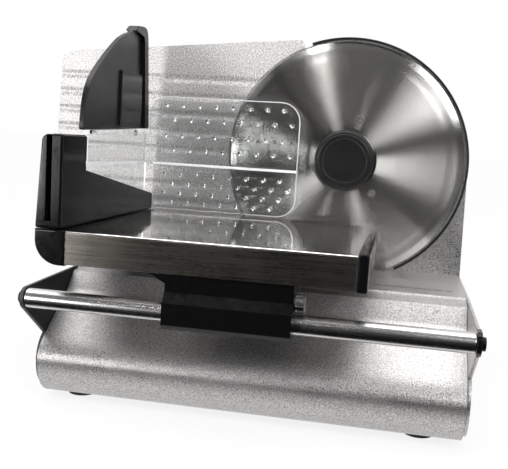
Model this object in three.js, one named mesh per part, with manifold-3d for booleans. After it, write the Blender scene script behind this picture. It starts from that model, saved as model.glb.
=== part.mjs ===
// Electric food slicer with a 190 mm blade, millimetres, +Z up, +Y away from the person who slices.
// Every piece is drawn about the blade's centre, and the last step moves the machine so that
// the origin lies on the table under its middle.
import * as THREE from 'three';
import { mergeVertices } from 'three/addons/utils/BufferGeometryUtils.js';
import Module from 'manifold-3d';

const wasm = await Module();
wasm.setup();

// Driving sizes: blade and guard.
const BLADE_RADIUS = 95;
const BLADE_THICKNESS = 1.3;
const HUB_RADIUS = 24.4;
const HUB_FRONT = -8;
const BLADE_FRONT = -3.2;
const SCREW_CIRCLE = 34.5;
const BLADE_GAP = 1.4;
const GUARD_WIDTH = 1.9;
const GUARD_PROUD = 2.3;

// Driving sizes: drive.
const SPINDLE_RADIUS = 6;
const GEAR_MODULE = 1.5;
const GEAR_TEETH = 56;
const PINION_TEETH = 16;
const GEAR_WIDTH = 9.6;
const MOTOR_RADIUS = 24;
const MOTOR_LENGTH = 57;
const GEARBOX_HALF = 30;
const GEARBOX_DEPTH = 14;

// Driving sizes: housing. The base's front profile leans forward from the shelf to the crest.
const WALL = 3;
const BODY_LEFT = -183.2;
const BODY_RIGHT = 97;
const PANEL_DEPTH = 40;
const SHELF_Z = -87;
const SHELF_EDGE_Y = -98;
const SLOPE_TOP_Y = -113;
const CREST_Y = -157;
const CREST_Z = -127;
const BASE_FRONT_Y = -168;
const BASE_BOTTOM_Z = -169.6;
const REAR_BODY_TOP = 50;
const FOOT_RADIUS = 10;
const FOOT_HEIGHT = 3.6;
const FOOT_SETBACK = 34.5;
const SIDE_PLATE = 2.4;

// Driving sizes: rear cover, its vents, the power switch and the gland.
const COVER_DEPTH = 20;
const BULGE_DEPTH = 24;
const BULGE_LEFT = -98;
const BULGE_MARGIN = 18.3;
const BULGE_CORNER = 22;
const VENT_COUNT = 8;
const VENT_PITCH = 12;
const VENT_WIDTH = 5;
const VENT_HEIGHT = 40;
const SWITCH_X = 48;
const SWITCH_Z = 30;
const GLAND_X = 60;
const GLAND_Z = -145;

// Driving sizes: rail and carriage.
const RAIL_RADIUS = 6.35;
const RAIL_Y = -183;
const RAIL_Z = -97.7;
const NOSE_REACH = 7;
const NOSE_DROP = 2.4;
const NOSE_UNDER = 6.4;
const END_CAP_UNDER = 7.2;
const END_CAP_PROUD = 0.5;
const RAIL_SCREW_HEAD = 2.3;
const TRAY_TOP_Z = -51.3;
const TRAY_SHEET = 1.2;
const TRAY_LEFT = -155.2;
const TRAY_RIGHT = 26;
const TRAY_FRONT = -192;
const TRAY_REAR = -9;
const TRAY_LIP = 21.2;
const GUIDE_WALL_TOP = 8.5;
const GUIDE_WALL_INNER = -158.2;
const GUIDE_WALL_WIDTH = 17.5;
const CAP_WIDTH = 6.6;
const CAP_REAR = -50;
const CAP_CORNER = 12;
const BLOCK_LEFT = -90;
const BLOCK_RIGHT = -10;
const BLOCK_HALF_DEPTH = 12.5;
const BEAM_REACH = 22;
const BEAM_HEIGHT = 7.5;
const LEG_HALF_WIDTH = 15;
const TRAY_SCREW_REACH = 20;
const TRAY_SCREW_SPACING = 40;
const GROOVE_Y = -76.5;

// Driving sizes: pusher.
const PUSHER_THICKNESS = 3;
const PUSHER_BACK_Y = -13;
const PUSHER_RIGHT = -36.4;
const PUSHER_TOP = 43.5;
const TOOTH_PITCH = 14;
const TOOTH_HEIGHT = 2.6;
const WING_LENGTH = 123.5;
const HANDLE_HEIGHT = 79.8;
const HANDLE_LENGTH = 128;
const HANDLE_DROP = 4.4;

// Driving sizes: thickness plate and its control.
const PLATE_THICKNESS = 6;
const PLATE_LEFT = -252;
const PLATE_TRAVEL = 15;
const PLATE_BOTTOM = -70;
const FLUTE_PITCH = 14.8;
const KNOB_RADIUS = 19;
const KNOB_DEPTH = 9;
const KNOB_GRIP = 10;
const CONTROL_X = -140;
const CONTROL_RADIUS = 5;
const GUIDE_PIN_RADIUS = 5;
const GUIDE_PIN_OFFSET = 22;
const CARRIER_SHEET = 5;
const CARRIER_HALF_WIDTH = 32;
const CARRIER_HALF_HEIGHT = 22;

// Gaps: pieces that touch, and pieces that run on each other.
const GAP = 0.3;
const RUNNING = 0.1;

// Sizes that follow.
const RECESS_RADIUS = BLADE_RADIUS + BLADE_GAP;
const GUARD_RADIUS = RECESS_RADIUS + GUARD_WIDTH;
const DRUM_RADIUS = RECESS_RADIUS - 0.1;
const PLATE_ARC = DRUM_RADIUS + 0.6;
const POCKET_RADIUS = BLADE_RADIUS - 3;
const POCKET_DEPTH = 16;
const FLOOR_REAR = POCKET_DEPTH + WALL;
const BOSS_END = PANEL_DEPTH - 6;
const GUARD_START = THREE.MathUtils.degToRad(109.5);
const NOTCH_X = -38.8;
const BLADE_BACK = BLADE_FRONT + 1.9 + BLADE_THICKNESS - 1.0;
const GEAR_FRONT = BLADE_BACK + GAP;
const GEAR_BACK = GEAR_FRONT + GEAR_WIDTH;
const GEAR_PITCH_RADIUS = (GEAR_MODULE * GEAR_TEETH) / 2;
const PINION_PITCH_RADIUS = (GEAR_MODULE * PINION_TEETH) / 2;
const PINION_Z = -(GEAR_PITCH_RADIUS + PINION_PITCH_RADIUS);
const LEFT_BODY_FRONT = PLATE_THICKNESS + PLATE_TRAVEL + 7;
const COVER_FRONT = PANEL_DEPTH + GAP;
const COVER_BACK = PANEL_DEPTH + COVER_DEPTH;
const BULGE_BACK = COVER_BACK + BULGE_DEPTH;
const TABLE_Z = BASE_BOTTOM_Z - GAP - FOOT_HEIGHT;
const TRAY_UNDER = TRAY_TOP_Z - TRAY_SHEET;
const TRAY_LIP_BOTTOM = TRAY_TOP_Z - TRAY_LIP;
const WALL_OUTER = GUIDE_WALL_INNER - GUIDE_WALL_WIDTH;
const WING_X = GUIDE_WALL_INNER - GUIDE_WALL_WIDTH / 2;
const WING_HALF = 1.4;
const POST_REAR = TRAY_FRONT + 36;
const SIDE_TOP = SHELF_Z - 1;
const NOSE_TIP = RAIL_Y - NOSE_REACH;
const PUSHER_FRONT_Y = PUSHER_BACK_Y - PUSHER_THICKNESS;
const HANDLE_BOTTOM = GUIDE_WALL_TOP + 7.7;

// Turns a three.js geometry into a solid that can be joined and cut.
function solidOf(geometry) {
  const plain = geometry.clone();
  plain.deleteAttribute('normal');
  plain.deleteAttribute('uv');
  const merged = mergeVertices(plain, 1e-4);
  const vertProperties = new Float32Array(merged.attributes.position.array);
  const index = merged.index.array;
  const kept = [];
  for (let i = 0; i < index.length; i += 3) {
    const [a, b, c] = [index[i], index[i + 1], index[i + 2]];
    if (a !== b && b !== c && c !== a) {
      kept.push(a, b, c);
    }
  }
  return new wasm.Manifold(new wasm.Mesh({ numProp: 3, vertProperties, triVerts: new Uint32Array(kept) }));
}

// Turns a joined solid back into a geometry.
function geometryOf(solid) {
  const mesh = solid.getMesh();
  const geometry = new THREE.BufferGeometry();
  geometry.setAttribute('position', new THREE.BufferAttribute(new Float32Array(mesh.vertProperties), 3));
  geometry.setIndex(new THREE.BufferAttribute(new Uint32Array(mesh.triVerts), 1));
  geometry.computeVertexNormals();
  return geometry;
}

// A box between two corners.
function box(x0, x1, y0, y1, z0, z1) {
  const geometry = new THREE.BoxGeometry(x1 - x0, y1 - y0, z1 - z0);
  geometry.translate((x0 + x1) / 2, (y0 + y1) / 2, (z0 + z1) / 2);
  return solidOf(geometry);
}

// An outline made of straight lines.
function outlineOf(points) {
  return new THREE.Shape(points.map(([u, v]) => new THREE.Vector2(u, v)));
}

// An outline in Y and Z, pushed along X.
function alongX(shape, x0, x1, steps = 6) {
  const settings = { depth: x1 - x0, bevelEnabled: false, curveSegments: steps };
  const geometry = new THREE.ExtrudeGeometry(shape, settings);
  geometry.applyMatrix4(new THREE.Matrix4().makeBasis(
    new THREE.Vector3(0, 1, 0),
    new THREE.Vector3(0, 0, 1),
    new THREE.Vector3(1, 0, 0),
  ));
  geometry.translate(x0, 0, 0);
  return solidOf(geometry);
}

// An outline in X and Z, pushed along Y.
function alongY(shape, y0, y1, steps = 6) {
  const settings = { depth: y1 - y0, bevelEnabled: false, curveSegments: steps };
  const geometry = new THREE.ExtrudeGeometry(shape, settings);
  geometry.applyMatrix4(new THREE.Matrix4().makeBasis(
    new THREE.Vector3(1, 0, 0),
    new THREE.Vector3(0, 0, 1),
    new THREE.Vector3(0, -1, 0),
  ));
  geometry.translate(0, y1, 0);
  return solidOf(geometry);
}

// Round bars along each axis.
function barX(radius, x0, x1, y, z, sides = 32) {
  const geometry = new THREE.CylinderGeometry(radius, radius, x1 - x0, sides);
  geometry.rotateZ(-Math.PI / 2);
  geometry.translate((x0 + x1) / 2, y, z);
  return solidOf(geometry);
}

function barY(radius, y0, y1, x = 0, z = 0, sides = 32) {
  const geometry = new THREE.CylinderGeometry(radius, radius, y1 - y0, sides);
  geometry.translate(x, (y0 + y1) / 2, z);
  return solidOf(geometry);
}

function barZ(radius, z0, z1, x, y, sides = 24) {
  const geometry = new THREE.CylinderGeometry(radius, radius, z1 - z0, sides);
  geometry.rotateX(Math.PI / 2);
  geometry.translate(x, y, (z0 + z1) / 2);
  return solidOf(geometry);
}

// A turned piece about an axis along Y, from radius and Y pairs. A profile that starts and ends
// on the axis stays open there.
function turned(points, x = 0, z = 0, sides = 48) {
  const profile = points.map(([r, y]) => new THREE.Vector2(r, y));
  if (!THREE.ShapeUtils.isClockWise(profile)) {
    profile.reverse();
  }
  profile.reverse();
  if (profile[0].x > 0 || profile[profile.length - 1].x > 0) {
    profile.push(profile[0].clone());
  }
  const geometry = new THREE.LatheGeometry(profile, sides);
  geometry.translate(x, 0, z);
  return solidOf(geometry);
}

// An involute gear's outline in X and Z, with the middle of its first tooth at the given angle.
function gearOutline(teeth, firstAngle, backlash) {
  const pitchRadius = (GEAR_MODULE * teeth) / 2;
  const baseRadius = pitchRadius * Math.cos(Math.PI / 9);
  const tipRadius = pitchRadius + 0.8 * GEAR_MODULE;
  const rootRadius = pitchRadius - 1.1 * GEAR_MODULE;
  const involute = (radius) => {
    const roll = Math.sqrt(Math.max((radius / baseRadius) ** 2 - 1, 0));
    return roll - Math.atan(roll);
  };
  const halfAtPitch = Math.PI / (2 * teeth) - backlash / pitchRadius;
  const halfAt = (radius) => halfAtPitch + involute(pitchRadius) - involute(Math.max(radius, baseRadius));
  const radii = [rootRadius, (rootRadius + pitchRadius) / 2, pitchRadius, tipRadius];
  const points = [];
  for (let tooth = 0; tooth < teeth; tooth += 1) {
    const middle = firstAngle + (tooth * 2 * Math.PI) / teeth;
    for (const radius of radii) {
      const angle = middle - halfAt(radius);
      points.push([radius * Math.cos(angle), radius * Math.sin(angle)]);
    }
    for (const radius of [...radii].reverse()) {
      const angle = middle + halfAt(radius);
      points.push([radius * Math.cos(angle), radius * Math.sin(angle)]);
    }
  }
  return points;
}

const group = new THREE.Group();
group.name = 'food_slicer';

// Adds one closed piece with its own material.
function piece(name, solid, color, metalness, roughness) {
  const material = new THREE.MeshStandardMaterial({ color, metalness, roughness });
  const mesh = new THREE.Mesh(geometryOf(solid), material);
  mesh.name = name;
  group.add(mesh);
}

// Main housing. The base is pushed along X: shelf, front band, slope, rounded front and flat bottom.
function baseShape(inset, floor) {
  const shape = new THREE.Shape();
  const top = SHELF_Z - inset;
  const rear = PANEL_DEPTH + (inset ? 1 : 0);
  shape.moveTo(rear, top);
  shape.lineTo(SHELF_EDGE_Y + inset * 0.8, top);
  shape.lineTo(SHELF_EDGE_Y - 1 + inset * 0.9, top - 1.2);
  shape.lineTo(SLOPE_TOP_Y + inset, SHELF_Z - 3.5 - inset);
  shape.lineTo(SLOPE_TOP_Y - 9 + inset, SHELF_Z - 14.5 - inset * 0.7);
  shape.quadraticCurveTo(SLOPE_TOP_Y - 11 + inset, SHELF_Z - 17 - inset, SLOPE_TOP_Y - 16 + inset * 0.6,
    SHELF_Z - 20 - inset * 0.8);
  shape.lineTo(CREST_Y + inset * 0.7, CREST_Z - inset * 0.7);
  shape.quadraticCurveTo(BASE_FRONT_Y - 3 + inset, CREST_Z - 10, BASE_FRONT_Y + inset, CREST_Z - 20);
  shape.quadraticCurveTo(BASE_FRONT_Y + 2 + inset, floor + 5, BASE_FRONT_Y + 20 + inset, floor);
  shape.lineTo(rear, floor);
  shape.closePath();
  return shape;
}

// The front panel follows the guard's circle at the top, the drum on the left and stands on the shelf.
function panelShape(inset) {
  const outer = GUARD_RADIUS - inset;
  const drum = DRUM_RADIUS - inset;
  const sideX = BODY_RIGHT + 0.4 - inset;
  const sideAngle = Math.acos(Math.min(sideX / outer, 1));
  const lowAngle = Math.PI * 1.5 - Math.acos(Math.min((-SHELF_Z - 1) / drum, 1));
  const shape = new THREE.Shape();
  shape.moveTo(BODY_RIGHT - inset, SHELF_Z - 12);
  if (inset === 0) {
    shape.lineTo(BODY_RIGHT, SHELF_Z - 0.7);
    shape.lineTo(BODY_RIGHT + 2, SHELF_Z - 0.7);
  }
  shape.lineTo(outer * Math.cos(sideAngle), outer * Math.sin(sideAngle));
  shape.absarc(0, 0, outer, sideAngle, GUARD_START, false);
  shape.lineTo(drum * Math.cos(GUARD_START), drum * Math.sin(GUARD_START));
  shape.absarc(0, 0, drum, GUARD_START, lowAngle, false);
  shape.lineTo(drum * Math.cos(lowAngle), SHELF_Z - 12);
  shape.closePath();
  return shape;
}

// The rear body behind the thickness plate.
function rearBodyShape(inset) {
  const left = BODY_LEFT + inset;
  const top = REAR_BODY_TOP - inset;
  const corner = 14 - inset;
  const shape = new THREE.Shape();
  shape.moveTo(0, SHELF_Z - 12);
  shape.lineTo(0, top);
  shape.lineTo(left + corner, top);
  shape.absarc(left + corner, top - corner, corner, Math.PI / 2, Math.PI, false);
  shape.lineTo(left, SHELF_Z - 12);
  shape.closePath();
  return shape;
}

const pinHoles = [CONTROL_X - GUIDE_PIN_OFFSET, CONTROL_X + GUIDE_PIN_OFFSET];
const outerBody = alongX(baseShape(0, BASE_BOTTOM_Z), BODY_LEFT, BODY_RIGHT)
  .add(alongY(panelShape(0), 0, PANEL_DEPTH, 16))
  .add(alongY(rearBodyShape(0), LEFT_BODY_FRONT, PANEL_DEPTH));
const hollow = alongX(baseShape(WALL, BASE_BOTTOM_Z - 1), BODY_LEFT + WALL, BODY_RIGHT - WALL)
  .add(alongY(panelShape(WALL), FLOOR_REAR, PANEL_DEPTH + 1, 16))
  .add(alongY(rearBodyShape(WALL), LEFT_BODY_FRONT + WALL, PANEL_DEPTH + 1));
const drum = barY(GUARD_RADIUS + 1.2, -8, FLOOR_REAR, 0, 0, 72);
let housing = outerBody.subtract(hollow).add(drum.intersect(outerBody));
housing = housing.add(barY(SPINDLE_RADIUS * 2, POCKET_DEPTH, BOSS_END));
for (const x of pinHoles) {
  housing = housing.add(barY(GUIDE_PIN_RADIUS + 3.5, LEFT_BODY_FRONT, PANEL_DEPTH - 1, x, 0, 24));
}
housing = housing.subtract(barY(RECESS_RADIUS, -9, 0, 0, 0, 72));
housing = housing.subtract(barY(POCKET_RADIUS, -1, POCKET_DEPTH, 0, 0, 72));
housing = housing.subtract(barY(8 + GAP, POCKET_DEPTH - 1, BOSS_END + 1));
housing = housing.subtract(barY(4.5, POCKET_DEPTH - 1, FLOOR_REAR + 1, 0, PINION_Z, 24));
housing = housing.subtract(barY(CONTROL_RADIUS + 4.6, LEFT_BODY_FRONT - 1, PANEL_DEPTH, CONTROL_X, 0));
for (const x of pinHoles) {
  housing = housing.subtract(barY(GUIDE_PIN_RADIUS + RUNNING, LEFT_BODY_FRONT - 1, PANEL_DEPTH + 1, x, 0));
}
housing = housing.subtract(box(BODY_LEFT + 8, BODY_RIGHT - 8, GROOVE_Y - 1.7, GROOVE_Y + 1.7,
  SHELF_Z - 1.9, SHELF_Z + 1));
piece('main_housing', housing, 0xb9b9b6, 0.6, 0.5);

// Raised guard round the open part of the blade.
const guardLow = -Math.asin((-SHELF_Z - 0.6) / GUARD_RADIUS);
const guardShape = new THREE.Shape();
guardShape.absarc(0, 0, GUARD_RADIUS, guardLow, GUARD_START, false);
guardShape.absarc(0, 0, RECESS_RADIUS, GUARD_START, guardLow, true);
guardShape.closePath();
piece('blade_guard', alongY(guardShape, -GUARD_PROUD, -GAP, 40), 0xcfcfcd, 0.7, 0.35);

// Rear cover: a shallow shell behind the body with a deeper bulge over the motor.
function coverLayer(inset, y0, y1) {
  const low = new THREE.Shape();
  low.moveTo(BODY_LEFT + inset, BASE_BOTTOM_Z + inset);
  low.lineTo(BODY_RIGHT - inset, BASE_BOTTOM_Z + inset);
  low.lineTo(BODY_RIGHT - inset, SHELF_Z);
  low.lineTo(BODY_LEFT + inset, SHELF_Z);
  low.closePath();
  return alongY(low, y0, y1)
    .add(alongY(panelShape(inset || 0.01), y0, y1, 16))
    .add(alongY(rearBodyShape(inset), y0, y1));
}

function bulgeShape(inset) {
  const shape = new THREE.Shape();
  const radius = BULGE_CORNER - inset;
  const left = BULGE_LEFT + inset;
  const right = GUARD_RADIUS - BULGE_MARGIN - inset;
  const low = PINION_Z - MOTOR_RADIUS - VENT_HEIGHT - 6 + inset;
  const high = GUARD_RADIUS - 2 * BULGE_MARGIN - inset;
  shape.moveTo(left + radius, low);
  shape.lineTo(right - radius, low);
  shape.absarc(right - radius, low + radius, radius, -Math.PI / 2, 0, false);
  shape.lineTo(right, high - radius);
  shape.absarc(right - radius, high - radius, radius, 0, Math.PI / 2, false);
  shape.lineTo(left + radius, high);
  shape.absarc(left + radius, high - radius, radius, Math.PI / 2, Math.PI, false);
  shape.lineTo(left, low + radius);
  shape.absarc(left + radius, low + radius, radius, Math.PI, Math.PI * 1.5, false);
  shape.closePath();
  return shape;
}

let rearCover = coverLayer(1.5, COVER_FRONT, COVER_BACK).add(alongY(bulgeShape(0), COVER_FRONT + 6, BULGE_BACK));
rearCover = rearCover.subtract(coverLayer(1.5 + WALL, COVER_FRONT - 1, COVER_BACK - WALL));
rearCover = rearCover.subtract(alongY(bulgeShape(WALL), COVER_FRONT + 5, BULGE_BACK - WALL));
const ventTop = PINION_Z - 4;
for (let slot = 0; slot < VENT_COUNT; slot += 1) {
  const x = BULGE_LEFT + BULGE_CORNER + slot * VENT_PITCH;
  rearCover = rearCover.subtract(box(x, x + VENT_WIDTH, BULGE_BACK - WALL - 1, BULGE_BACK + 1,
    ventTop - VENT_HEIGHT, ventTop));
}
rearCover = rearCover.subtract(box(SWITCH_X - 12.6, SWITCH_X + 12.6, BULGE_BACK - WALL - 1, BULGE_BACK + 1,
  SWITCH_Z - 9.4, SWITCH_Z + 9.4));
rearCover = rearCover.subtract(barY(CONTROL_RADIUS + GAP, COVER_BACK - WALL - 1, COVER_BACK + 1, CONTROL_X, 0));
rearCover = rearCover.subtract(barY(7, COVER_BACK - WALL - 1, COVER_BACK + 1, GLAND_X, GLAND_Z));
piece('rear_cover', rearCover, 0x1d1d1f, 0.0, 0.45);

// Bottom cover inside the shell's lower edge, and four rubber feet below it.
const bottomFront = BASE_FRONT_Y + 20 + WALL + GAP + 0.5;
piece('bottom_cover', box(BODY_LEFT + WALL + GAP, BODY_RIGHT - WALL - GAP, bottomFront, PANEL_DEPTH,
  BASE_BOTTOM_Z, BASE_BOTTOM_Z + 2.4), 0x2a2a2c, 0.0, 0.6);

function foot(x, y) {
  const top = BASE_BOTTOM_Z - GAP;
  return barZ(FOOT_RADIUS, TABLE_Z, TABLE_Z + 2.2, x, y).add(barZ(FOOT_RADIUS - 2, TABLE_Z + 2.2, top, x, y));
}

const FOOT_LEFT = BODY_LEFT + 19;
const FOOT_RIGHT = BODY_RIGHT - 26;
const FOOT_FRONT = BASE_FRONT_Y + FOOT_SETBACK;
const FOOT_REAR = PANEL_DEPTH - 12;
piece('foot_front_left', foot(FOOT_LEFT, FOOT_FRONT), 0x161616, 0, 0.8);
piece('foot_front_right', foot(FOOT_RIGHT, FOOT_FRONT), 0x161616, 0, 0.8);
piece('foot_rear_left', foot(FOOT_LEFT, FOOT_REAR), 0x161616, 0, 0.8);
piece('foot_rear_right', foot(FOOT_RIGHT, FOOT_REAR), 0x161616, 0, 0.8);

// Side plates. Both reach forward round the rail's end; the tall left one also closes the rear body.
function sideShape(tall) {
  const shape = new THREE.Shape();
  const noseTop = SIDE_TOP - NOSE_DROP;
  const noseLow = RAIL_Z - NOSE_UNDER;
  shape.moveTo(PANEL_DEPTH, BASE_BOTTOM_Z + 2);
  shape.lineTo(BASE_FRONT_Y + 22, BASE_BOTTOM_Z + 2);
  shape.quadraticCurveTo(BASE_FRONT_Y + 5, BASE_BOTTOM_Z + 7, BASE_FRONT_Y + 3.5, CREST_Z - 20);
  shape.quadraticCurveTo(BASE_FRONT_Y + 2, CREST_Z - 8, CREST_Y + 1, CREST_Z);
  shape.lineTo(RAIL_Y - 3.6, noseLow);
  shape.quadraticCurveTo(NOSE_TIP - 0.6, noseLow + 2.4, NOSE_TIP, RAIL_Z);
  shape.quadraticCurveTo(NOSE_TIP + 0.5, noseTop + 0.5, RAIL_Y + 1, noseTop);
  shape.lineTo(SHELF_EDGE_Y, SIDE_TOP);
  if (tall) {
    shape.lineTo(LEFT_BODY_FRONT, SIDE_TOP);
    shape.lineTo(LEFT_BODY_FRONT, REAR_BODY_TOP - 16);
    shape.lineTo(PANEL_DEPTH, REAR_BODY_TOP - 16);
  } else {
    shape.lineTo(PANEL_DEPTH, SIDE_TOP);
  }
  shape.closePath();
  return shape;
}

const LEFT_FACE = BODY_LEFT - GAP;
const RIGHT_FACE = BODY_RIGHT + GAP;
piece('left_side_cover', alongX(sideShape(true), LEFT_FACE - SIDE_PLATE, LEFT_FACE)
  .subtract(barX(2.8, LEFT_FACE - 5, LEFT_FACE + 1, RAIL_Y, RAIL_Z, 24)), 0x1b1c1b, 0.0, 0.5);

// The right plate leaves its nose to a black cap; only a pointed ear of the plate stays below it.
const capRear = RAIL_Y + RAIL_RADIUS + 0.2;
const capLow = RAIL_Z - END_CAP_UNDER;
const capOuter = RIGHT_FACE + SIDE_PLATE + END_CAP_PROUD;
piece('right_side_plate', alongX(sideShape(false), RIGHT_FACE, RIGHT_FACE + SIDE_PLATE)
  .subtract(box(RIGHT_FACE - 1, capOuter, NOSE_TIP - 2, capRear + GAP, capLow - GAP, SIDE_TOP + 1)),
0xb0b0ae, 0.6, 0.5);
piece('rail_end_cap', alongX(sideShape(false), RIGHT_FACE, capOuter)
  .intersect(box(RIGHT_FACE, capOuter, NOSE_TIP - 2, capRear, capLow, SIDE_TOP))
  .subtract(barX(2.8, RIGHT_FACE - 1, capOuter + 1, RAIL_Y, RAIL_Z, 24)), 0x151515, 0.0, 0.4);

// Slide rail between the two plates, held at each end by a screw.
const rail = barX(RAIL_RADIUS, BODY_LEFT, BODY_RIGHT, RAIL_Y, RAIL_Z, 48)
  .subtract(barX(2.8, BODY_LEFT - 1, BODY_LEFT + 13, RAIL_Y, RAIL_Z, 24))
  .subtract(barX(2.8, BODY_RIGHT - 13, BODY_RIGHT + 1, RAIL_Y, RAIL_Z, 24));
piece('slide_rail', rail, 0xe4e4e4, 1.0, 0.12);

const leftHead = LEFT_FACE - SIDE_PLATE - GAP;
piece('rail_screw_left', barX(2.5, leftHead, BODY_LEFT + 12, RAIL_Y, RAIL_Z, 24)
  .add(barX(4.2, leftHead - RAIL_SCREW_HEAD, leftHead, RAIL_Y, RAIL_Z, 24)), 0x2a2a2a, 0.8, 0.35);
const rightHead = capOuter + GAP;
piece('rail_screw_right', barX(2.5, BODY_RIGHT - 12, rightHead, RAIL_Y, RAIL_Z, 24)
  .add(barX(4.2, rightHead, rightHead + RAIL_SCREW_HEAD, RAIL_Y, RAIL_Z, 24)), 0x2a2a2a, 0.8, 0.35);

// Carriage block: hangs under the tray, runs on the rail, and its rear leg follows the shelf's groove.
const blockTop = TRAY_UNDER - GAP;
const blockRear = RAIL_Y + BLOCK_HALF_DEPTH;
const blockFront = RAIL_Y - BLOCK_HALF_DEPTH;
const blockInner = TRAY_FRONT + TRAY_SHEET + 0.5;
const blockLow = RAIL_Z - RAIL_RADIUS - 2.25;
const beamLow = blockTop - BEAM_HEIGHT;
const blockShape = outlineOf([
  [blockInner, blockTop],
  [blockInner, RAIL_Z + 14],
  [blockFront, RAIL_Z + 8],
  [blockFront, blockLow + 3],
  [blockFront + 2.5, blockLow],
  [blockRear - 2.5, blockLow],
  [blockRear, blockLow + 3],
  [blockRear, RAIL_Z + 22],
  [blockRear + BEAM_REACH, beamLow],
  [blockRear + BEAM_REACH, blockTop],
]);
const flareShape = outlineOf([
  [BLOCK_LEFT + 1, TRAY_LIP_BOTTOM - 6.5],
  [BLOCK_LEFT - 11, TRAY_LIP_BOTTOM - 0.2],
  [BLOCK_LEFT - 11, blockTop],
  [BLOCK_LEFT + 1, blockTop],
]);
const lockY = RAIL_Y - 1;
const lockZ = RAIL_Z + RAIL_RADIUS + 6.9;
const beamLeft = BLOCK_LEFT + 15;
const beamRight = BLOCK_RIGHT - 15;
const legMiddle = (BLOCK_LEFT + BLOCK_RIGHT) / 2;
let block = alongX(blockShape, BLOCK_LEFT, BLOCK_RIGHT)
  .add(alongY(flareShape, blockInner, blockRear))
  .add(box(beamLeft, beamRight, blockRear + BEAM_REACH - 2, GROOVE_Y + 6, beamLow, blockTop))
  .add(box(legMiddle - LEG_HALF_WIDTH, legMiddle + LEG_HALF_WIDTH, GROOVE_Y - 1.3, GROOVE_Y + 1.3,
    SHELF_Z - 1.5, beamLow + 1))
  .subtract(barX(RAIL_RADIUS + RUNNING, BLOCK_LEFT - 1, BLOCK_RIGHT + 1, RAIL_Y, RAIL_Z, 48))
  .subtract(barX(2.2, BLOCK_RIGHT - 16, BLOCK_RIGHT + 1, lockY, lockZ, 24));
const rearScrewY = GROOVE_Y - TRAY_SCREW_REACH;
const trayScrews = [rearScrewY, rearScrewY - TRAY_SCREW_SPACING];
for (const y of trayScrews) {
  block = block.subtract(barZ(2.1, beamLow - 1, blockTop + 1, legMiddle, y));
}
piece('carriage_block', block, 0x121212, 0.0, 0.35);

trayScrews.forEach((y, index) => {
  const head = beamLow - GAP;
  const screw = barZ(1.8, head - 1, blockTop, legMiddle, y).add(barZ(3.8, head - 2.2, head, legMiddle, y));
  piece(`tray_screw_${index + 1}`, screw, 0xbdbdbd, 1.0, 0.3);
});

// Lock screw on the block's right end: it clamps the carriage on the rail.
let lock = barX(1.9, BLOCK_RIGHT - 14, BLOCK_RIGHT + 1, lockY, lockZ, 24)
  .add(barX(6, BLOCK_RIGHT + GAP, BLOCK_RIGHT + 6.3, lockY, lockZ, 36));
for (let groove = 0; groove < 12; groove += 1) {
  const angle = (groove * Math.PI) / 6;
  lock = lock.subtract(barX(0.8, BLOCK_RIGHT + 1.5, BLOCK_RIGHT + 7, lockY + 6.1 * Math.cos(angle),
    lockZ + 6.1 * Math.sin(angle), 8));
}
piece('carriage_lock_screw', lock, 0xd8d8d8, 1.0, 0.2);

// Tray: one sheet with its front folded down.
const trayShape = new THREE.Shape();
trayShape.moveTo(TRAY_REAR, TRAY_TOP_Z);
trayShape.lineTo(TRAY_FRONT + 1.6, TRAY_TOP_Z);
trayShape.quadraticCurveTo(TRAY_FRONT, TRAY_TOP_Z, TRAY_FRONT, TRAY_TOP_Z - 1.6);
trayShape.lineTo(TRAY_FRONT, TRAY_LIP_BOTTOM);
trayShape.lineTo(TRAY_FRONT + TRAY_SHEET, TRAY_LIP_BOTTOM);
trayShape.lineTo(TRAY_FRONT + TRAY_SHEET, TRAY_UNDER - 0.8);
trayShape.lineTo(TRAY_FRONT + TRAY_SHEET + 0.8, TRAY_UNDER);
trayShape.lineTo(TRAY_REAR, TRAY_UNDER);
trayShape.closePath();
piece('tray', alongX(trayShape, TRAY_LEFT, TRAY_RIGHT), 0xc4c4c2, 1.0, 0.18);

// Black cap on the tray's right edge, from the front to near the blade.
const capLeft = TRAY_RIGHT + GAP;
const capRight = capLeft + CAP_WIDTH;
const capSide = new THREE.Shape();
capSide.moveTo(TRAY_FRONT - 0.9, TRAY_TOP_Z + 1.2);
capSide.lineTo(TRAY_FRONT - 0.9, TRAY_LIP_BOTTOM + 1);
capSide.quadraticCurveTo(TRAY_FRONT - 0.9, TRAY_LIP_BOTTOM - 1, TRAY_FRONT + 1.5, TRAY_LIP_BOTTOM - 1);
capSide.lineTo(CAP_REAR - CAP_CORNER, TRAY_LIP_BOTTOM - 1);
capSide.quadraticCurveTo(CAP_REAR, TRAY_LIP_BOTTOM - 1, CAP_REAR, TRAY_LIP_BOTTOM - 1 + CAP_CORNER);
capSide.lineTo(CAP_REAR, TRAY_TOP_Z + 1.2);
capSide.closePath();
piece('tray_right_cap', alongX(capSide, capLeft, capRight), 0x0f0f0f, 0.0, 0.35);

// Left end of the carriage: a rounded bar below, and the slotted guide wall with its front post above.
const baseBar = new THREE.Shape();
const barTop = TRAY_TOP_Z + 0.4;
const barBottom = TRAY_LIP_BOTTOM - 1;
baseBar.moveTo(TRAY_LEFT - GAP, barTop);
baseBar.lineTo(WALL_OUTER, barTop);
baseBar.lineTo(WALL_OUTER, barBottom + 16);
baseBar.absarc(WALL_OUTER + 16, barBottom + 16, 16, Math.PI, Math.PI * 1.5, false);
baseBar.lineTo(TRAY_LEFT - GAP, barBottom);
baseBar.closePath();
piece('tray_left_bar', alongY(baseBar, TRAY_FRONT - 0.5, TRAY_REAR - 4), 0x0e0e0f, 0.0, 0.25);

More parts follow.
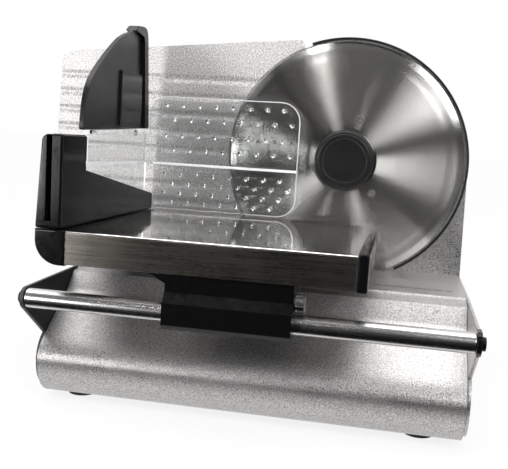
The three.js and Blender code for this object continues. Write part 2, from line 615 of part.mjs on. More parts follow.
const wallFoot = barTop + GAP;
const wallEnd = new THREE.Shape();
wallEnd.moveTo(GUIDE_WALL_INNER, wallFoot);
wallEnd.lineTo(GUIDE_WALL_INNER, GUIDE_WALL_TOP);
wallEnd.lineTo(WALL_OUTER + 10, GUIDE_WALL_TOP);
wallEnd.quadraticCurveTo(WALL_OUTER + 3.2, GUIDE_WALL_TOP, WALL_OUTER + 3, GUIDE_WALL_TOP - 9);
wallEnd.lineTo(WALL_OUTER, wallFoot);
wallEnd.closePath();
const wallSide = new THREE.Shape();
wallSide.moveTo(TRAY_FRONT - 0.5, wallFoot - 1);
wallSide.lineTo(TRAY_FRONT - 0.5, GUIDE_WALL_TOP - 2);
wallSide.quadraticCurveTo(TRAY_FRONT - 0.5, GUIDE_WALL_TOP + 0.1, TRAY_FRONT + 2, GUIDE_WALL_TOP + 0.1);
wallSide.lineTo(POST_REAR, GUIDE_WALL_TOP + 0.1);
wallSide.lineTo(POST_REAR, GUIDE_WALL_TOP - 23);
wallSide.lineTo(TRAY_REAR - 4, GUIDE_WALL_TOP - 46);
wallSide.lineTo(TRAY_REAR - 4, wallFoot - 1);
wallSide.closePath();
const slotLow = wallFoot + 4.6;
const guideWall = alongY(wallEnd, TRAY_FRONT - 0.5, TRAY_REAR - 4, 5)
  .intersect(alongX(wallSide, WALL_OUTER - 1, GUIDE_WALL_INNER + 1, 4))
  .subtract(box(WING_X - WING_HALF - 0.4, WING_X + WING_HALF + 0.4, TRAY_FRONT - 2, TRAY_REAR,
    slotLow, GUIDE_WALL_TOP + 2));
piece('tray_guide_wall', guideWall, 0x101011, 0.0, 0.12);

// Pusher: a clear plate with rows of teeth, a rib and a wing that slides in the wall's slot. The wing's
// top edge falls towards its front, and a saddle on it carries the handle.
const wingTop = GUIDE_WALL_TOP + 4;
const wingFrontTop = GUIDE_WALL_TOP;
const joinLow = GUIDE_WALL_TOP - 20.5;
const plateLow = TRAY_TOP_Z + 1.8;
const plateLeft = GUIDE_WALL_INNER + 0.4;
const plateShape = new THREE.Shape();
plateShape.moveTo(plateLeft, plateLow);
plateShape.lineTo(PUSHER_RIGHT - 15, plateLow);
plateShape.absarc(PUSHER_RIGHT - 15, plateLow + 15, 15, -Math.PI / 2, 0, false);
plateShape.lineTo(PUSHER_RIGHT, PUSHER_TOP - 16);
plateShape.absarc(PUSHER_RIGHT - 16, PUSHER_TOP - 16, 16, 0, Math.PI / 2, false);
plateShape.lineTo(plateLeft + 10, PUSHER_TOP);
plateShape.absarc(plateLeft + 10, PUSHER_TOP - 15, 15, Math.PI / 2, Math.PI, false);
plateShape.lineTo(plateLeft - 5, wingTop);
plateShape.lineTo(WING_X - WING_HALF, wingTop);
plateShape.lineTo(WING_X - WING_HALF, joinLow);
plateShape.lineTo(plateLeft, joinLow);
plateShape.closePath();
const wingFront = PUSHER_BACK_Y - WING_LENGTH;
const handleRear = PUSHER_FRONT_Y - 1;
const handleFront = handleRear - HANDLE_LENGTH;
const handleUnder = (y) => HANDLE_BOTTOM - (HANDLE_DROP * (handleRear - y)) / HANDLE_LENGTH;
const saddleFront = wingFront + 14;
const saddleRear = wingFront + 92;
const wingShape = outlineOf([
  [PUSHER_BACK_Y, slotLow + 0.6],
  [PUSHER_BACK_Y, wingTop],
  [saddleRear, wingTop],
  [saddleFront, GUIDE_WALL_TOP + 1.5],
  [wingFront, wingFrontTop],
  [wingFront, slotLow + 0.6],
]);
const saddleShape = outlineOf([
  [saddleRear, GUIDE_WALL_TOP + 0.7],
  [saddleRear, handleUnder(saddleRear) - GAP],
  [saddleFront, handleUnder(saddleFront) - GAP],
  [saddleFront, GUIDE_WALL_TOP + 0.7],
]);
let pusher = alongY(plateShape, PUSHER_FRONT_Y, PUSHER_BACK_Y)
  .add(alongX(wingShape, WING_X - WING_HALF, WING_X + WING_HALF))
  .add(alongX(saddleShape, WING_X - 4, WING_X + 4))
  .add(box(plateLeft, PUSHER_RIGHT - 0.5, PUSHER_FRONT_Y - 2.4, PUSHER_FRONT_Y + 1, joinLow - 1, joinLow + 1.6))
  .subtract(box(WING_X + WING_HALF - 0.6, WING_X + WING_HALF + 1, wingFront + 4, PUSHER_FRONT_Y - 3,
    joinLow - 0.4, joinLow + 1));

// One tooth: a four-sided point on the side that meets the food.
function tooth(x, z) {
  const geometry = new THREE.ConeGeometry(2.3, TOOTH_HEIGHT + 0.4, 4);
  geometry.translate(x, PUSHER_BACK_Y + (TOOTH_HEIGHT + 0.4) / 2 - 0.4, z);
  return solidOf(geometry);
}

const toothRows = [36.5, 24.8, 11.7, 0, -20.5, -28.2, -36, -43.7];
toothRows.forEach((z, row) => {
  const shift = row % 2 ? TOOTH_PITCH / 2 : 0;
  for (let x = -148.5 + shift; x < PUSHER_RIGHT - 4; x += TOOTH_PITCH) {
    const nearCorner = x > PUSHER_RIGHT - 14 && (z > PUSHER_TOP - 9 || z < plateLow + 9);
    if (z < PUSHER_TOP - 4 && !nearCorner) {
      pusher = pusher.add(tooth(x, z));
    }
  }
});
piece('pusher', pusher, 0xe8eef0, 0.0, 0.05);

// Pusher handle: a thin fin with a raised rim, a wider column at its rear and a wider cap on top.
// The outline is in shares of its length and height.
const handleShares = [
  [0, 0], [0.08, 0.9], [0.09, 0.955], [0.12, 0.995], [0.16, 1], [0.26, 0.985], [0.285, 0.965],
  [0.33, 0.905], [0.4, 0.88], [0.51, 0.815], [0.61, 0.727], [0.7, 0.64], [0.78, 0.555], [0.853, 0.472],
  [0.915, 0.385], [0.953, 0.303], [0.975, 0.22], [0.986, 0.153], [1, 0],
];
const handleEdge = handleShares.map(([along, up]) => [
  handleRear - along * HANDLE_LENGTH,
  HANDLE_BOTTOM + up * HANDLE_HEIGHT,
]);
handleEdge.push([handleFront + 0.3, handleUnder(handleFront + 0.3)]);

// The same outline moved inwards.
function insetEdge(points, distance) {
  return points.map(([y, z], index) => {
    const before = points[(index + points.length - 1) % points.length];
    const after = points[(index + 1) % points.length];
    const entering = new THREE.Vector2(y - before[0], z - before[1]).normalize();
    const leaving = new THREE.Vector2(after[0] - y, after[1] - z).normalize();
    const half = new THREE.Vector2(-entering.y - leaving.y, entering.x + leaving.x).normalize();
    const reach = distance / Math.max(half.dot(new THREE.Vector2(-entering.y, entering.x)), 0.5);
    return [y + half.x * reach, z + half.y * reach];
  });
}

const finHalf = 2.2;
const webHalf = 1.3;
const columnHalf = 4.5;
const web = alongX(outlineOf(insetEdge(handleEdge, 2.6)), WING_X - 20, WING_X + 20);
const columnEdge = outlineOf([
  [handleRear + 5, HANDLE_BOTTOM - 8],
  [handleRear + 5, HANDLE_BOTTOM + HANDLE_HEIGHT + 5],
  [handleRear - 0.31 * HANDLE_LENGTH, HANDLE_BOTTOM + HANDLE_HEIGHT + 5],
  [handleRear - 0.31 * HANDLE_LENGTH, HANDLE_BOTTOM + 0.93 * HANDLE_HEIGHT],
  [handleRear - 0.16 * HANDLE_LENGTH, HANDLE_BOTTOM + 0.9 * HANDLE_HEIGHT],
  [handleRear - 0.145 * HANDLE_LENGTH, HANDLE_BOTTOM + 0.85 * HANDLE_HEIGHT],
  [handleRear - 0.07 * HANDLE_LENGTH, HANDLE_BOTTOM - 8],
]);
const column = alongX(outlineOf(handleEdge), WING_X - columnHalf, WING_X + columnHalf)
  .intersect(alongX(columnEdge, WING_X - 20, WING_X + 20));
const handle = alongX(outlineOf(handleEdge), WING_X - finHalf, WING_X + finHalf)
  .subtract(web)
  .add(web.intersect(box(WING_X - webHalf, WING_X + webHalf, handleFront - 5, PUSHER_BACK_Y, 0, 200)))
  .add(column)
  .add(box(WING_X - 3, WING_X + 3.2, handleRear - 63, handleRear - 17, HANDLE_BOTTOM, HANDLE_BOTTOM + 42));
piece('pusher_handle', handle, 0x141414, 0.0, 0.4);

// Blade: a disc with a raised middle, a hollow-ground band and a bevelled edge.
const bevelWidth = 5.4;
const grindFront = BLADE_FRONT + 1.1;
const bladeProfile = [
  [SPINDLE_RADIUS + GAP, BLADE_FRONT],
  [SPINDLE_RADIUS + GAP, BLADE_BACK],
  [BLADE_RADIUS - bevelWidth, BLADE_BACK],
  [BLADE_RADIUS, BLADE_BACK + 0.2],
  [BLADE_RADIUS, BLADE_BACK],
  [BLADE_RADIUS - bevelWidth, grindFront],
  [BLADE_RADIUS - 11, grindFront],
  [BLADE_RADIUS - 13, BLADE_FRONT + 0.6],
];
const screwAngles = [73, 193, 313].map((angle) => THREE.MathUtils.degToRad(angle));
const screwPlaces = screwAngles.map((angle) => [SCREW_CIRCLE * Math.cos(angle), SCREW_CIRCLE * Math.sin(angle)]);
let blade = turned(bladeProfile, 0, 0, 96);
let gearBody = alongY(outlineOf(gearOutline(GEAR_TEETH, -Math.PI / 2, 0.14)), GEAR_FRONT, GEAR_BACK)
  .subtract(barY(SPINDLE_RADIUS + GAP, GEAR_FRONT - 1, GEAR_BACK + 1));
for (const [x, z] of screwPlaces) {
  blade = blade.subtract(barY(1.9, BLADE_FRONT - 1, BLADE_BACK + 1, x, z, 16));
  gearBody = gearBody.subtract(barY(1.9, GEAR_FRONT - 1, GEAR_BACK + 1, x, z, 16));
}
piece('blade', blade, 0xd6d6d6, 1.0, 0.2);
piece('blade_gear', gearBody, 0xe9e6dc, 0.0, 0.5);

screwPlaces.forEach(([x, z], index) => {
  const head = BLADE_FRONT + 0.1;
  const screw = barY(1.6, head - 0.5, GEAR_BACK - 1, x, z, 16)
    .add(barY(3, head - 1.4, head - GAP, x, z, 20))
    .subtract(barY(1.2, head - 2, head - 0.9, x, z, 6));
  piece(`blade_screw_${index + 1}`, screw, 0xcfcfcf, 1.0, 0.25);
});

// Hub cap in front of the blade, with a blind hole over the spindle's end.
const hubBack = BLADE_FRONT - GAP;
piece('hub_cap', turned([
  [0, HUB_FRONT],
  [HUB_RADIUS - 4, HUB_FRONT],
  [HUB_RADIUS - 1.4, HUB_FRONT + 0.9],
  [HUB_RADIUS, HUB_FRONT + 2.6],
  [HUB_RADIUS, hubBack],
  [SPINDLE_RADIUS + GAP, hubBack],
  [SPINDLE_RADIUS + GAP, hubBack - 2.6],
  [0, hubBack - 2.6],
]), 0x151515, 0.0, 0.45);

// Spindle through bushing, and the ring that holds it behind the boss.
piece('blade_spindle', barY(SPINDLE_RADIUS, hubBack - 2.3, BOSS_END + 5)
  .add(barY(SPINDLE_RADIUS * 1.5, GEAR_BACK + GAP, GEAR_BACK + 4, 0, 0)), 0xbababa, 1.0, 0.3);
piece('spindle_bushing', turned([
  [SPINDLE_RADIUS + RUNNING, GEAR_BACK + 4.4],
  [8, GEAR_BACK + 4.4],
  [8, BOSS_END + 2],
  [SPINDLE_RADIUS + RUNNING, BOSS_END + 2],
], 0, 0, 32), 0xb8894a, 1.0, 0.35);
piece('spindle_ring', turned([
  [SPINDLE_RADIUS + GAP, BOSS_END + 2.4],
  [SPINDLE_RADIUS * 1.5, BOSS_END + 2.4],
  [SPINDLE_RADIUS * 1.5, BOSS_END + 3.8],
  [SPINDLE_RADIUS + GAP, BOSS_END + 3.8],
], 0, 0, 32), 0x8c8c8c, 1.0, 0.4);

// Gear motor behind the recess floor, and its pinion in mesh below the blade's gear.
const motorFront = FLOOR_REAR + GAP;
const gearbox = box(-GEARBOX_HALF, GEARBOX_HALF, motorFront, motorFront + GEARBOX_DEPTH,
  PINION_Z - GEARBOX_HALF, PINION_Z + GEARBOX_HALF)
  .add(barY(MOTOR_RADIUS, motorFront + GEARBOX_DEPTH - 1, motorFront + MOTOR_LENGTH, 0, PINION_Z, 40))
  .add(barY(8, motorFront + MOTOR_LENGTH - 1, motorFront + MOTOR_LENGTH + 3, 0, PINION_Z, 24))
  .subtract(barY(3 + RUNNING, motorFront - 1, motorFront + 10, 0, PINION_Z, 32));
piece('gear_motor', gearbox, 0x7d8083, 0.8, 0.4);

const pinionAngle = Math.PI / 2 + Math.PI / PINION_TEETH;
const pinion = alongY(outlineOf(gearOutline(PINION_TEETH, pinionAngle, 0.14)
  .map(([x, z]) => [x, z + PINION_Z])), GEAR_FRONT + 0.6, GEAR_BACK)
  .add(barY(3, GEAR_FRONT + 0.6, motorFront + 9, 0, PINION_Z, 32));
piece('drive_pinion', pinion, 0xa9a9a9, 1.0, 0.35);

// Thickness plate: fluted front, sloping top edge, and an edge that follows the blade.
const plateTopRight = GUARD_RADIUS - 3.3;
const plateTopSlope = 0.083;
const plateCorner = 16;
const plateTopLeft = plateTopRight - plateTopSlope * (NOTCH_X - PLATE_LEFT - plateCorner);
const notchAngle = Math.acos(NOTCH_X / PLATE_ARC);
const lowEdgeAngle = Math.PI + Math.asin(-PLATE_BOTTOM / PLATE_ARC);
const plateOutline = new THREE.Shape();
plateOutline.moveTo(PLATE_ARC * Math.cos(lowEdgeAngle), PLATE_BOTTOM);
plateOutline.absarc(0, 0, PLATE_ARC, lowEdgeAngle, notchAngle, true);
plateOutline.lineTo(NOTCH_X - 2.4, plateTopRight);
plateOutline.lineTo(PLATE_LEFT + plateCorner + 3, plateTopLeft);
plateOutline.quadraticCurveTo(PLATE_LEFT + 3.5, plateTopLeft - 2, PLATE_LEFT + 3, plateTopLeft - plateCorner);
plateOutline.lineTo(PLATE_LEFT, 8);
plateOutline.lineTo(PLATE_LEFT, PLATE_BOTTOM + 10);
plateOutline.absarc(PLATE_LEFT + 10, PLATE_BOTTOM + 10, 10, Math.PI, Math.PI * 1.5, false);
plateOutline.closePath();
const flutePoints = [[PLATE_THICKNESS, PLATE_BOTTOM - 2], [0, PLATE_BOTTOM - 2]];
const fluteCount = Math.floor((59.6 + 68) / FLUTE_PITCH);
for (let flute = fluteCount; flute >= 0; flute -= 1) {
  const z = 59.6 - flute * FLUTE_PITCH;
  flutePoints.push([0, z - 4.4], [0.55, z - 1.4], [0.55, z + 1.4], [0, z + 4.4]);
}
flutePoints.push([0, GUARD_RADIUS + 4], [PLATE_THICKNESS, GUARD_RADIUS + 4]);
const thicknessPlate = alongY(plateOutline, 0, PLATE_THICKNESS, 20)
  .intersect(alongX(outlineOf(flutePoints), PLATE_LEFT - 2, 0));
piece('thickness_plate', thicknessPlate, 0xbfbfbc, 0.7, 0.45);

// Carrier fixed behind the plate: two guide pins and a nut between them.
const carrierFront = PLATE_THICKNESS + GAP;
const carrierRear = carrierFront + CARRIER_SHEET;
const nutRadius = CONTROL_RADIUS + 4;
let carrier = box(CONTROL_X - CARRIER_HALF_WIDTH, CONTROL_X + CARRIER_HALF_WIDTH, carrierFront, carrierRear,
  -CARRIER_HALF_HEIGHT, CARRIER_HALF_HEIGHT)
  .add(barY(nutRadius, carrierRear - 1, PANEL_DEPTH - 2, CONTROL_X, 0));
for (const x of pinHoles) {
  carrier = carrier.add(barY(GUIDE_PIN_RADIUS, carrierRear - 1, PANEL_DEPTH, x, 0));
}
const spindleTip = carrierRear + PLATE_TRAVEL + 1.2;
carrier = carrier.subtract(barY(CONTROL_RADIUS + RUNNING, carrierRear + 0.5, PANEL_DEPTH, CONTROL_X, 0));
piece('plate_carrier', carrier, 0x9d9fa1, 0.9, 0.4);

// Thickness spindle and its knob behind the cover.
const spindleEnd = COVER_BACK + GAP + KNOB_DEPTH + 4.7;
piece('thickness_spindle', barY(CONTROL_RADIUS, spindleTip, spindleEnd, CONTROL_X, 0), 0xb5b5b5, 1.0, 0.3);
const knobFront = COVER_BACK + GAP;
const knobFace = knobFront + KNOB_DEPTH;
const knobBore = CONTROL_RADIUS + GAP;
const gripHalf = KNOB_RADIUS - 3;
const knob = turned([
  [knobBore, knobFront],
  [KNOB_RADIUS, knobFront],
  [KNOB_RADIUS, knobFace - 2],
  [KNOB_RADIUS - 2, knobFace],
  [knobBore, knobFace],
], CONTROL_X, 0)
  .add(box(CONTROL_X - 4.2, CONTROL_X + 4.2, knobFace - 1, knobFace + KNOB_GRIP, -gripHalf, gripHalf))
  .subtract(barY(knobBore, knobFront - 1, knobFace + 5, CONTROL_X, 0));
piece('thickness_knob', knob, 0x131313, 0.0, 0.4);

// Power switch: a bezel on the bulge and a rocker that turns in it.
const bezelBack = BULGE_BACK + GAP;
const bezel = box(SWITCH_X - 15.5, SWITCH_X + 15.5, bezelBack, bezelBack + 1.8, SWITCH_Z - 12.5, SWITCH_Z + 12.5)
  .subtract(box(SWITCH_X - 12.3, SWITCH_X + 12.3, bezelBack - 1, bezelBack + 3, SWITCH_Z - 9.2, SWITCH_Z + 9.2));
piece('switch_bezel', bezel, 0x1a1a1a, 0.0, 0.3);
const pivotY = BULGE_BACK - 4;
const rockerShape = outlineOf([
  [pivotY - 4, SWITCH_Z - 5.5],
  [pivotY + 5.4, SWITCH_Z - 7],
  [pivotY + 5, SWITCH_Z],
  [pivotY + 7.6, SWITCH_Z + 6.6],
  [pivotY - 4, SWITCH_Z + 5.5],
]);
piece('rocker_switch', alongX(rockerShape, SWITCH_X - 11.8, SWITCH_X + 11.8), 0x8f1d18, 0.0, 0.3);

// Strain relief where the power lead goes in.
piece('cord_gland', turned([
  [3.2, COVER_BACK - WALL - 3],
  [6.7, COVER_BACK - WALL - 3],
  [6.7, COVER_BACK + GAP],
  [9, COVER_BACK + GAP],
  [9, COVER_BACK + 2.6],
  [6.2, COVER_BACK + 3.4],
  [5, COVER_BACK + 17],
  [3.2, COVER_BACK + 17],
], GLAND_X, GLAND_Z, 32), 0x111111, 0.0, 0.6);

// Origin on the table, under the middle of the whole machine.
const bounds = new THREE.Box3().setFromObject(group);
const middle = bounds.getCenter(new THREE.Vector3());
for (const mesh of group.children) {
  mesh.geometry.translate(-middle.x, -middle.y, -bounds.min.z);
}

export default group;
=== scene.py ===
"""Looks of an electric food slicer with a round blade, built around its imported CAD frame."""
import math

import bmesh
import bpy
from mathutils import Matrix, Vector


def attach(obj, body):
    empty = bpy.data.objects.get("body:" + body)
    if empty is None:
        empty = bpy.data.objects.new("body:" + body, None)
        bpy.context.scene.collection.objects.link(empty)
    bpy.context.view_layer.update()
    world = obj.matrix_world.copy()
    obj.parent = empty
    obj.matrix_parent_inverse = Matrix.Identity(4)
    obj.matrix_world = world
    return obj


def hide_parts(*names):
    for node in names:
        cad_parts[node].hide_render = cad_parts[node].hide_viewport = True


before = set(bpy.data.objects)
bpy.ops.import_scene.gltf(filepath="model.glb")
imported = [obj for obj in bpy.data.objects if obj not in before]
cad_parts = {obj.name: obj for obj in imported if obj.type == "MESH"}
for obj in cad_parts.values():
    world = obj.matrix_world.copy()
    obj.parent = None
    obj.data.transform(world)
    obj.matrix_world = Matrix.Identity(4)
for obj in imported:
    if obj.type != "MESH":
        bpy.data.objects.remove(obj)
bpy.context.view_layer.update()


# Main housing: one shell of pressed aluminium with the front panel, the shelf and the sloping
# base. The right side plate of the same metal closes its right end. The edges are folded over
# softly, and both are sprayed with a silver metallic lacquer.
BLADE_AXIS = Vector((74.6, 53.95, 173.5))
HAND_MARKS = 22.0  # clouds of handling in a metre, so each is some 45 mm wide


def at(x, y, z):
    """A point given in millimetres from the blade's centre, in metres of the frame."""
    return (BLADE_AXIS + Vector((x, y, z))) / 1000


def tint(code):
    """An sRGB hex colour as the linear colour that shaders take."""
    parts = [int(code[i:i + 2], 16) / 255 for i in (0, 2, 4)]
    return [c / 12.92 if c <= 0.04045 else ((c + 0.055) / 1.055) ** 2.4 for c in parts] + [1.0]


def add(tree, kind, sockets=(), **settings):
    """Adds a node with its settings, and sets or links its sockets."""
    made = tree.nodes.new(kind)
    for name, value in settings.items():
        setattr(made, name, value)
    for name, value in dict(sockets).items():
        if isinstance(value, bpy.types.NodeSocket):
            tree.links.new(value, made.inputs[name])
        else:
            made.inputs[name].default_value = value
    return made


def surface(name, colour, metallic, roughness, **sockets):
    """A new material whose even values stand on the shader's own sockets."""
    material = bpy.data.materials.new(name)
    material.use_nodes = True
    shader = material.node_tree.nodes["Principled BSDF"]
    shader.inputs["Base Color"].default_value = tint(colour)
    shader.inputs["Metallic"].default_value = metallic
    shader.inputs["Roughness"].default_value = roughness
    for socket, value in sockets.items():
        shader.inputs[socket.replace("_", " ")].default_value = value
    return material


def grain(material, size_mm, lift_mm, tone, shine, stretch=(1, 1, 1), worn=0.0):
    """Draws grain of a real size: its bump, its change of colour and shine, and pale worn edges."""
    tree = material.node_tree
    shader = tree.nodes["Principled BSDF"]
    colour = shader.inputs["Base Color"].default_value[:3]
    rough = shader.inputs["Roughness"].default_value
    spot = add(tree, "ShaderNodeTexCoord")
    along = add(tree, "ShaderNodeMapping", {"Vector": spot.outputs["Object"], "Scale": stretch})
    fine = add(tree, "ShaderNodeTexNoise", {
        "Vector": along.outputs[0], "Scale": 1000 / size_mm, "Detail": 2.0, "Roughness": 0.65})
    hands = add(tree, "ShaderNodeTexNoise", {
        "Vector": spot.outputs["Object"], "Scale": HAND_MARKS, "Detail": 4.0, "Roughness": 0.6})
    both = add(tree, "ShaderNodeMath", {0: fine.outputs["Fac"], 1: hands.outputs["Fac"]},
               operation="ADD")
    speck = add(tree, "ShaderNodeMapRange", {
        "Value": fine.outputs["Fac"], "From Min": 0.32, "From Max": 0.68,
        "To Min": 1 - tone, "To Max": 1 + tone})
    share = speck.outputs[0]
    if worn:
        form = add(tree, "ShaderNodeNewGeometry")
        edge = add(tree, "ShaderNodeMapRange", {
            "Value": form.outputs["Pointiness"], "From Min": 0.52, "From Max": 0.6,
            "To Min": 0.0, "To Max": worn})
        share = add(tree, "ShaderNodeMath", {0: share, 1: edge.outputs[0]},
                    operation="ADD").outputs[0]
    dyed = add(tree, "ShaderNodeVectorMath", {0: colour, "Scale": share}, operation="SCALE")
    tree.links.new(dyed.outputs[0], shader.inputs["Base Color"])
    gloss = add(tree, "ShaderNodeMapRange", {
        "Value": both.outputs[0], "From Min": 0.7, "From Max": 1.3,
        "To Min": max(rough - shine, 0.02), "To Max": rough + shine})
    tree.links.new(gloss.outputs[0], shader.inputs["Roughness"])
    relief = add(tree, "ShaderNodeBump", {
        "Height": fine.outputs["Fac"], "Distance": lift_mm / 1000, "Strength": 1.0})
    tree.links.new(relief.outputs[0], shader.inputs["Normal"])
    return material


def round_edges(piece, edge_mm, steps=3, above=32):
    """Joins what the file split, clears flat faces, and rounds every edge that is sharper."""
    piece.data.polygons.foreach_set("use_smooth", [True] * len(piece.data.polygons))
    piece.modifiers.new("weld", "WELD").merge_threshold = 2e-6
    flat = piece.modifiers.new("flat", "DECIMATE")
    flat.decimate_type = "DISSOLVE"
    flat.angle_limit = math.radians(0.4)
    edge = piece.modifiers.new("edge", "BEVEL")
    edge.width = edge_mm / 1000
    edge.segments = steps
    edge.limit_method = "ANGLE"
    edge.angle_limit = math.radians(above)
    edge.harden_normals = True
    piece.modifiers.new("normals", "WEIGHTED_NORMAL").keep_sharp = True
    return piece


def dress(name, material, edge_mm=0.4, **how):
    """Gives a solid that is carried over its finish and its rounded edges."""
    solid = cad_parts[name]
    for place in solid.material_slots:
        place.material = material
    return round_edges(solid, edge_mm, **how)


# Metallic lacquer: soft broad highlights that sparkle. Its flake is under 0.3 mm on the real
# machine, and is drawn at 0.8 mm so that it shows at all.
silver_lacquer = grain(surface("silver_metallic_lacquer", "b6b4b3", 0.9, 0.36),
                       0.8, 0.22, 0.52, 0.12)
dress("main_housing", silver_lacquer, 0.8)
dress("right_side_plate", silver_lacquer, 0.6)


# Left side cover: a moulded shell of black ABS that closes the housing's left end.
# It reaches forward as an arm that holds the rail.
# Spark-eroded ABS: a soft grey sheen. Its grain of 0.2 mm is drawn at 0.7 mm.
moulded_abs = grain(surface("moulded_black_abs", "2b2b2a", 0.0, 0.5),
                    0.7, 0.04, 0.14, 0.08, worn=0.3)
dress("left_side_cover", moulded_abs, 0.7)


# Rail end cap: a small moulding of black ABS, pushed over the rail's right end.
# It comes from a polished mould.
# Polished ABS: nearly black, with a faint mirror and flow marks some 3 mm wide.
gloss_abs = grain(surface("polished_black_abs", "09090a", 0.0, 0.18, Specular_IOR_Level=0.28),
                  3.0, 0.004, 0.08, 0.06, worn=0.3)
dress("rail_end_cap", gloss_abs, 0.9)


# Slide rail: a round bar of steel, ground and chromed, on which the carriage runs.
# It is bored at both ends and held between the two side pieces by a screw in each bore.
RAIL_RADIUS, RAIL_Y, RAIL_Z = 6.35, -183, -97.7
RAIL_LEFT, RAIL_RIGHT = -183.2, 97
BORE_RADIUS, BORE_DEPTH = 2.8, 13


def settle(name, mesh):
    """Turns a finished mesh into a smooth-shaded piece of the scene."""
    bmesh.ops.recalc_face_normals(mesh, faces=mesh.faces)
    for face in mesh.faces:
        face.smooth = True
    data = bpy.data.meshes.new(name)
    mesh.to_mesh(data)
    mesh.free()
    piece = bpy.data.objects.new(name, data)
    bpy.context.scene.collection.objects.link(piece)
    return piece


def rounded(points, reach, steps=4):
    """An outline with small curves at its corners; a third number is a corner's own reach."""
    out = []
    for i, point in enumerate(points):
        here = Vector(point[:2])
        size = point[2] if len(point) > 2 else reach
        if not size:
            out.append(here)
            continue
        before = Vector(points[i - 1][:2]) - here
        after = Vector(points[(i + 1) % len(points)][:2]) - here
        start = here + before.normalized() * min(size, before.length * 0.48)
        end = here + after.normalized() * min(size, after.length * 0.48)
        for step in range(steps + 1):
            t = step / steps
            out.append(start * (1 - t) ** 2 + here * 2 * t * (1 - t) + end * t * t)
    return out


def shrunk(corners, inset):
    """Corners of a counterclockwise outline, moved inwards; the reach of their curves follows."""
    moved = []
    for i, corner in enumerate(corners):
        here = Vector(corner[:2])
        coming = (here - Vector(corners[i - 1][:2])).normalized()
        going = (Vector(corners[(i + 1) % len(corners)][:2]) - here).normalized()
        normal = Vector((-coming.y, coming.x))
        half = (normal + Vector((-going.y, going.x))).normalized()
        lean = min(max(half.dot(normal), 0.3), 1.0)
        reach = corner[2] if len(corner) > 2 else 0
        if reach:
            bend = math.sqrt(1 - lean * lean) / lean
            reach = max(reach - math.copysign(inset * bend, coming.cross(going)), 0.05)
        moved.append((*(here + half * inset / lean), reach))
    return moved


def pushed(name, corners, axis, low, high, edge=0.0, reach=0.0, curve=6):
    """A closed outline pushed along X or Y, its corners and its two ends rounded."""
    order = {"X": lambda d, u, v: at(d, u, v), "Y": lambda d, u, v: at(u, d, v)}[axis]
    corners = [(*corner, reach)[:3] for corner in corners]
    if sum(a[0] * b[1] - b[0] * a[1] for a, b in zip(corners, corners[1:] + corners[:1])) < 0:
        corners.reverse()
    bends = [math.pi / 6 * step for step in range(4)] if edge else [math.pi / 2]
    levels = [(edge * (1 - math.cos(a)), edge * (1 - math.sin(a))) for a in bends]
    near_end = [(low + depth, inset) for depth, inset in levels]
    far_end = [(high - depth, inset) for depth, inset in levels[::-1]]
    mesh = bmesh.new()
    rings = []
    for depth, inset in near_end + far_end:
        ring = rounded(shrunk(corners, inset) if inset > 1e-9 else corners, 0, curve)
        rings.append([mesh.verts.new(order(depth, *point)) for point in ring])
    mesh.faces.new(rings[0])
    mesh.faces.new(rings[-1][::-1])
    for near, far in zip(rings, rings[1:]):
        for i in range(len(near)):
            n = (i + 1) % len(near)
            mesh.faces.new((near[i], far[i], far[n], near[n]))
    return settle(name, mesh)


def combine(piece, operation, *tools):
    """Joins, cuts or overlaps a piece with others, and keeps the result as its mesh."""
    for tool in tools:
        step = piece.modifiers.new("combine", "BOOLEAN")
        step.operation = operation
        step.object = tool
        step.solver = "EXACT"
    seen = piece.evaluated_get(bpy.context.evaluated_depsgraph_get())
    made = bpy.data.meshes.new_from_object(seen)
    piece.modifiers.clear()
    piece.data = made
    for tool in tools:
        bpy.data.objects.remove(tool)
    return piece


def even(piece, above=42):
    """Keeps the sharper edges crisp and the flat faces flat under smooth shading."""
    piece.data.set_sharp_from_angle(angle=math.radians(above))
    piece.modifiers.new("normals", "WEIGHTED_NORMAL").keep_sharp = True
    return piece


def finish(piece, body, node, slot, *materials):
    """Gives a piece its materials, hangs it on its body and hides the solid it stands for."""
    piece.data.materials.clear()
    for material in materials:
        piece.data.materials.append(material)
    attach(piece, body)
    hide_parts(node)
    return piece


def arc(x, z, radius, start, end, steps):
    """Points of a circle's part, from one angle to another in degrees."""
    turns = [math.radians(start + (end - start) * i / steps) for i in range(steps + 1)]
    return [(x + radius * math.cos(a), z + radius * math.sin(a)) for a in turns]


rail = pushed("ground_rail", arc(RAIL_Y, RAIL_Z, RAIL_RADIUS, 0, 357, 119), "X",
              RAIL_LEFT, RAIL_RIGHT, 0.6)
rail_bore = arc(RAIL_Y, RAIL_Z, BORE_RADIUS, 0, 345, 23)
combine(rail, "DIFFERENCE",
        pushed("left_bore", rail_bore, "X", RAIL_LEFT - 1, RAIL_LEFT + BORE_DEPTH),
        pushed("right_bore", rail_bore, "X", RAIL_RIGHT - BORE_DEPTH, RAIL_RIGHT + 1))
# Chrome over ground steel: bright and mirroring, with hair lines along the bar that are drawn
# 0.6 mm apart and are finer in fact.
chrome_plate = grain(surface("chromed_ground_steel", "cfcdcc", 1.0, 0.26),
                     0.6, 0.0006, 0.04, 0.03, stretch=(0.03, 1, 1))
even(finish(rail, "base", "slide_rail", "rail_chrome", chrome_plate))


# Screws: turned and rolled steel. Two come up through the carriage block and hold the tray, and
# one at each end holds the rail.
# Bright zinc: pale grey with faint clouds. Blackened steel: dark with a metal's glint. The grain
# of both is drawn at 0.5 mm, which is coarser than it is.
zinc_screw = grain(surface("zinc_plated_steel", "b9b9b8", 1.0, 0.3), 0.5, 0.01, 0.08, 0.06)
black_screw = grain(surface("blackened_steel", "1b1b1c", 0.8, 0.35), 0.5, 0.01, 0.08, 0.06)
for screw in ("tray_screw_1", "tray_screw_2"):
    dress(screw, zinc_screw, 0.3)
for screw in ("rail_screw_left", "rail_screw_right"):
    dress(screw, black_screw, 0.6)


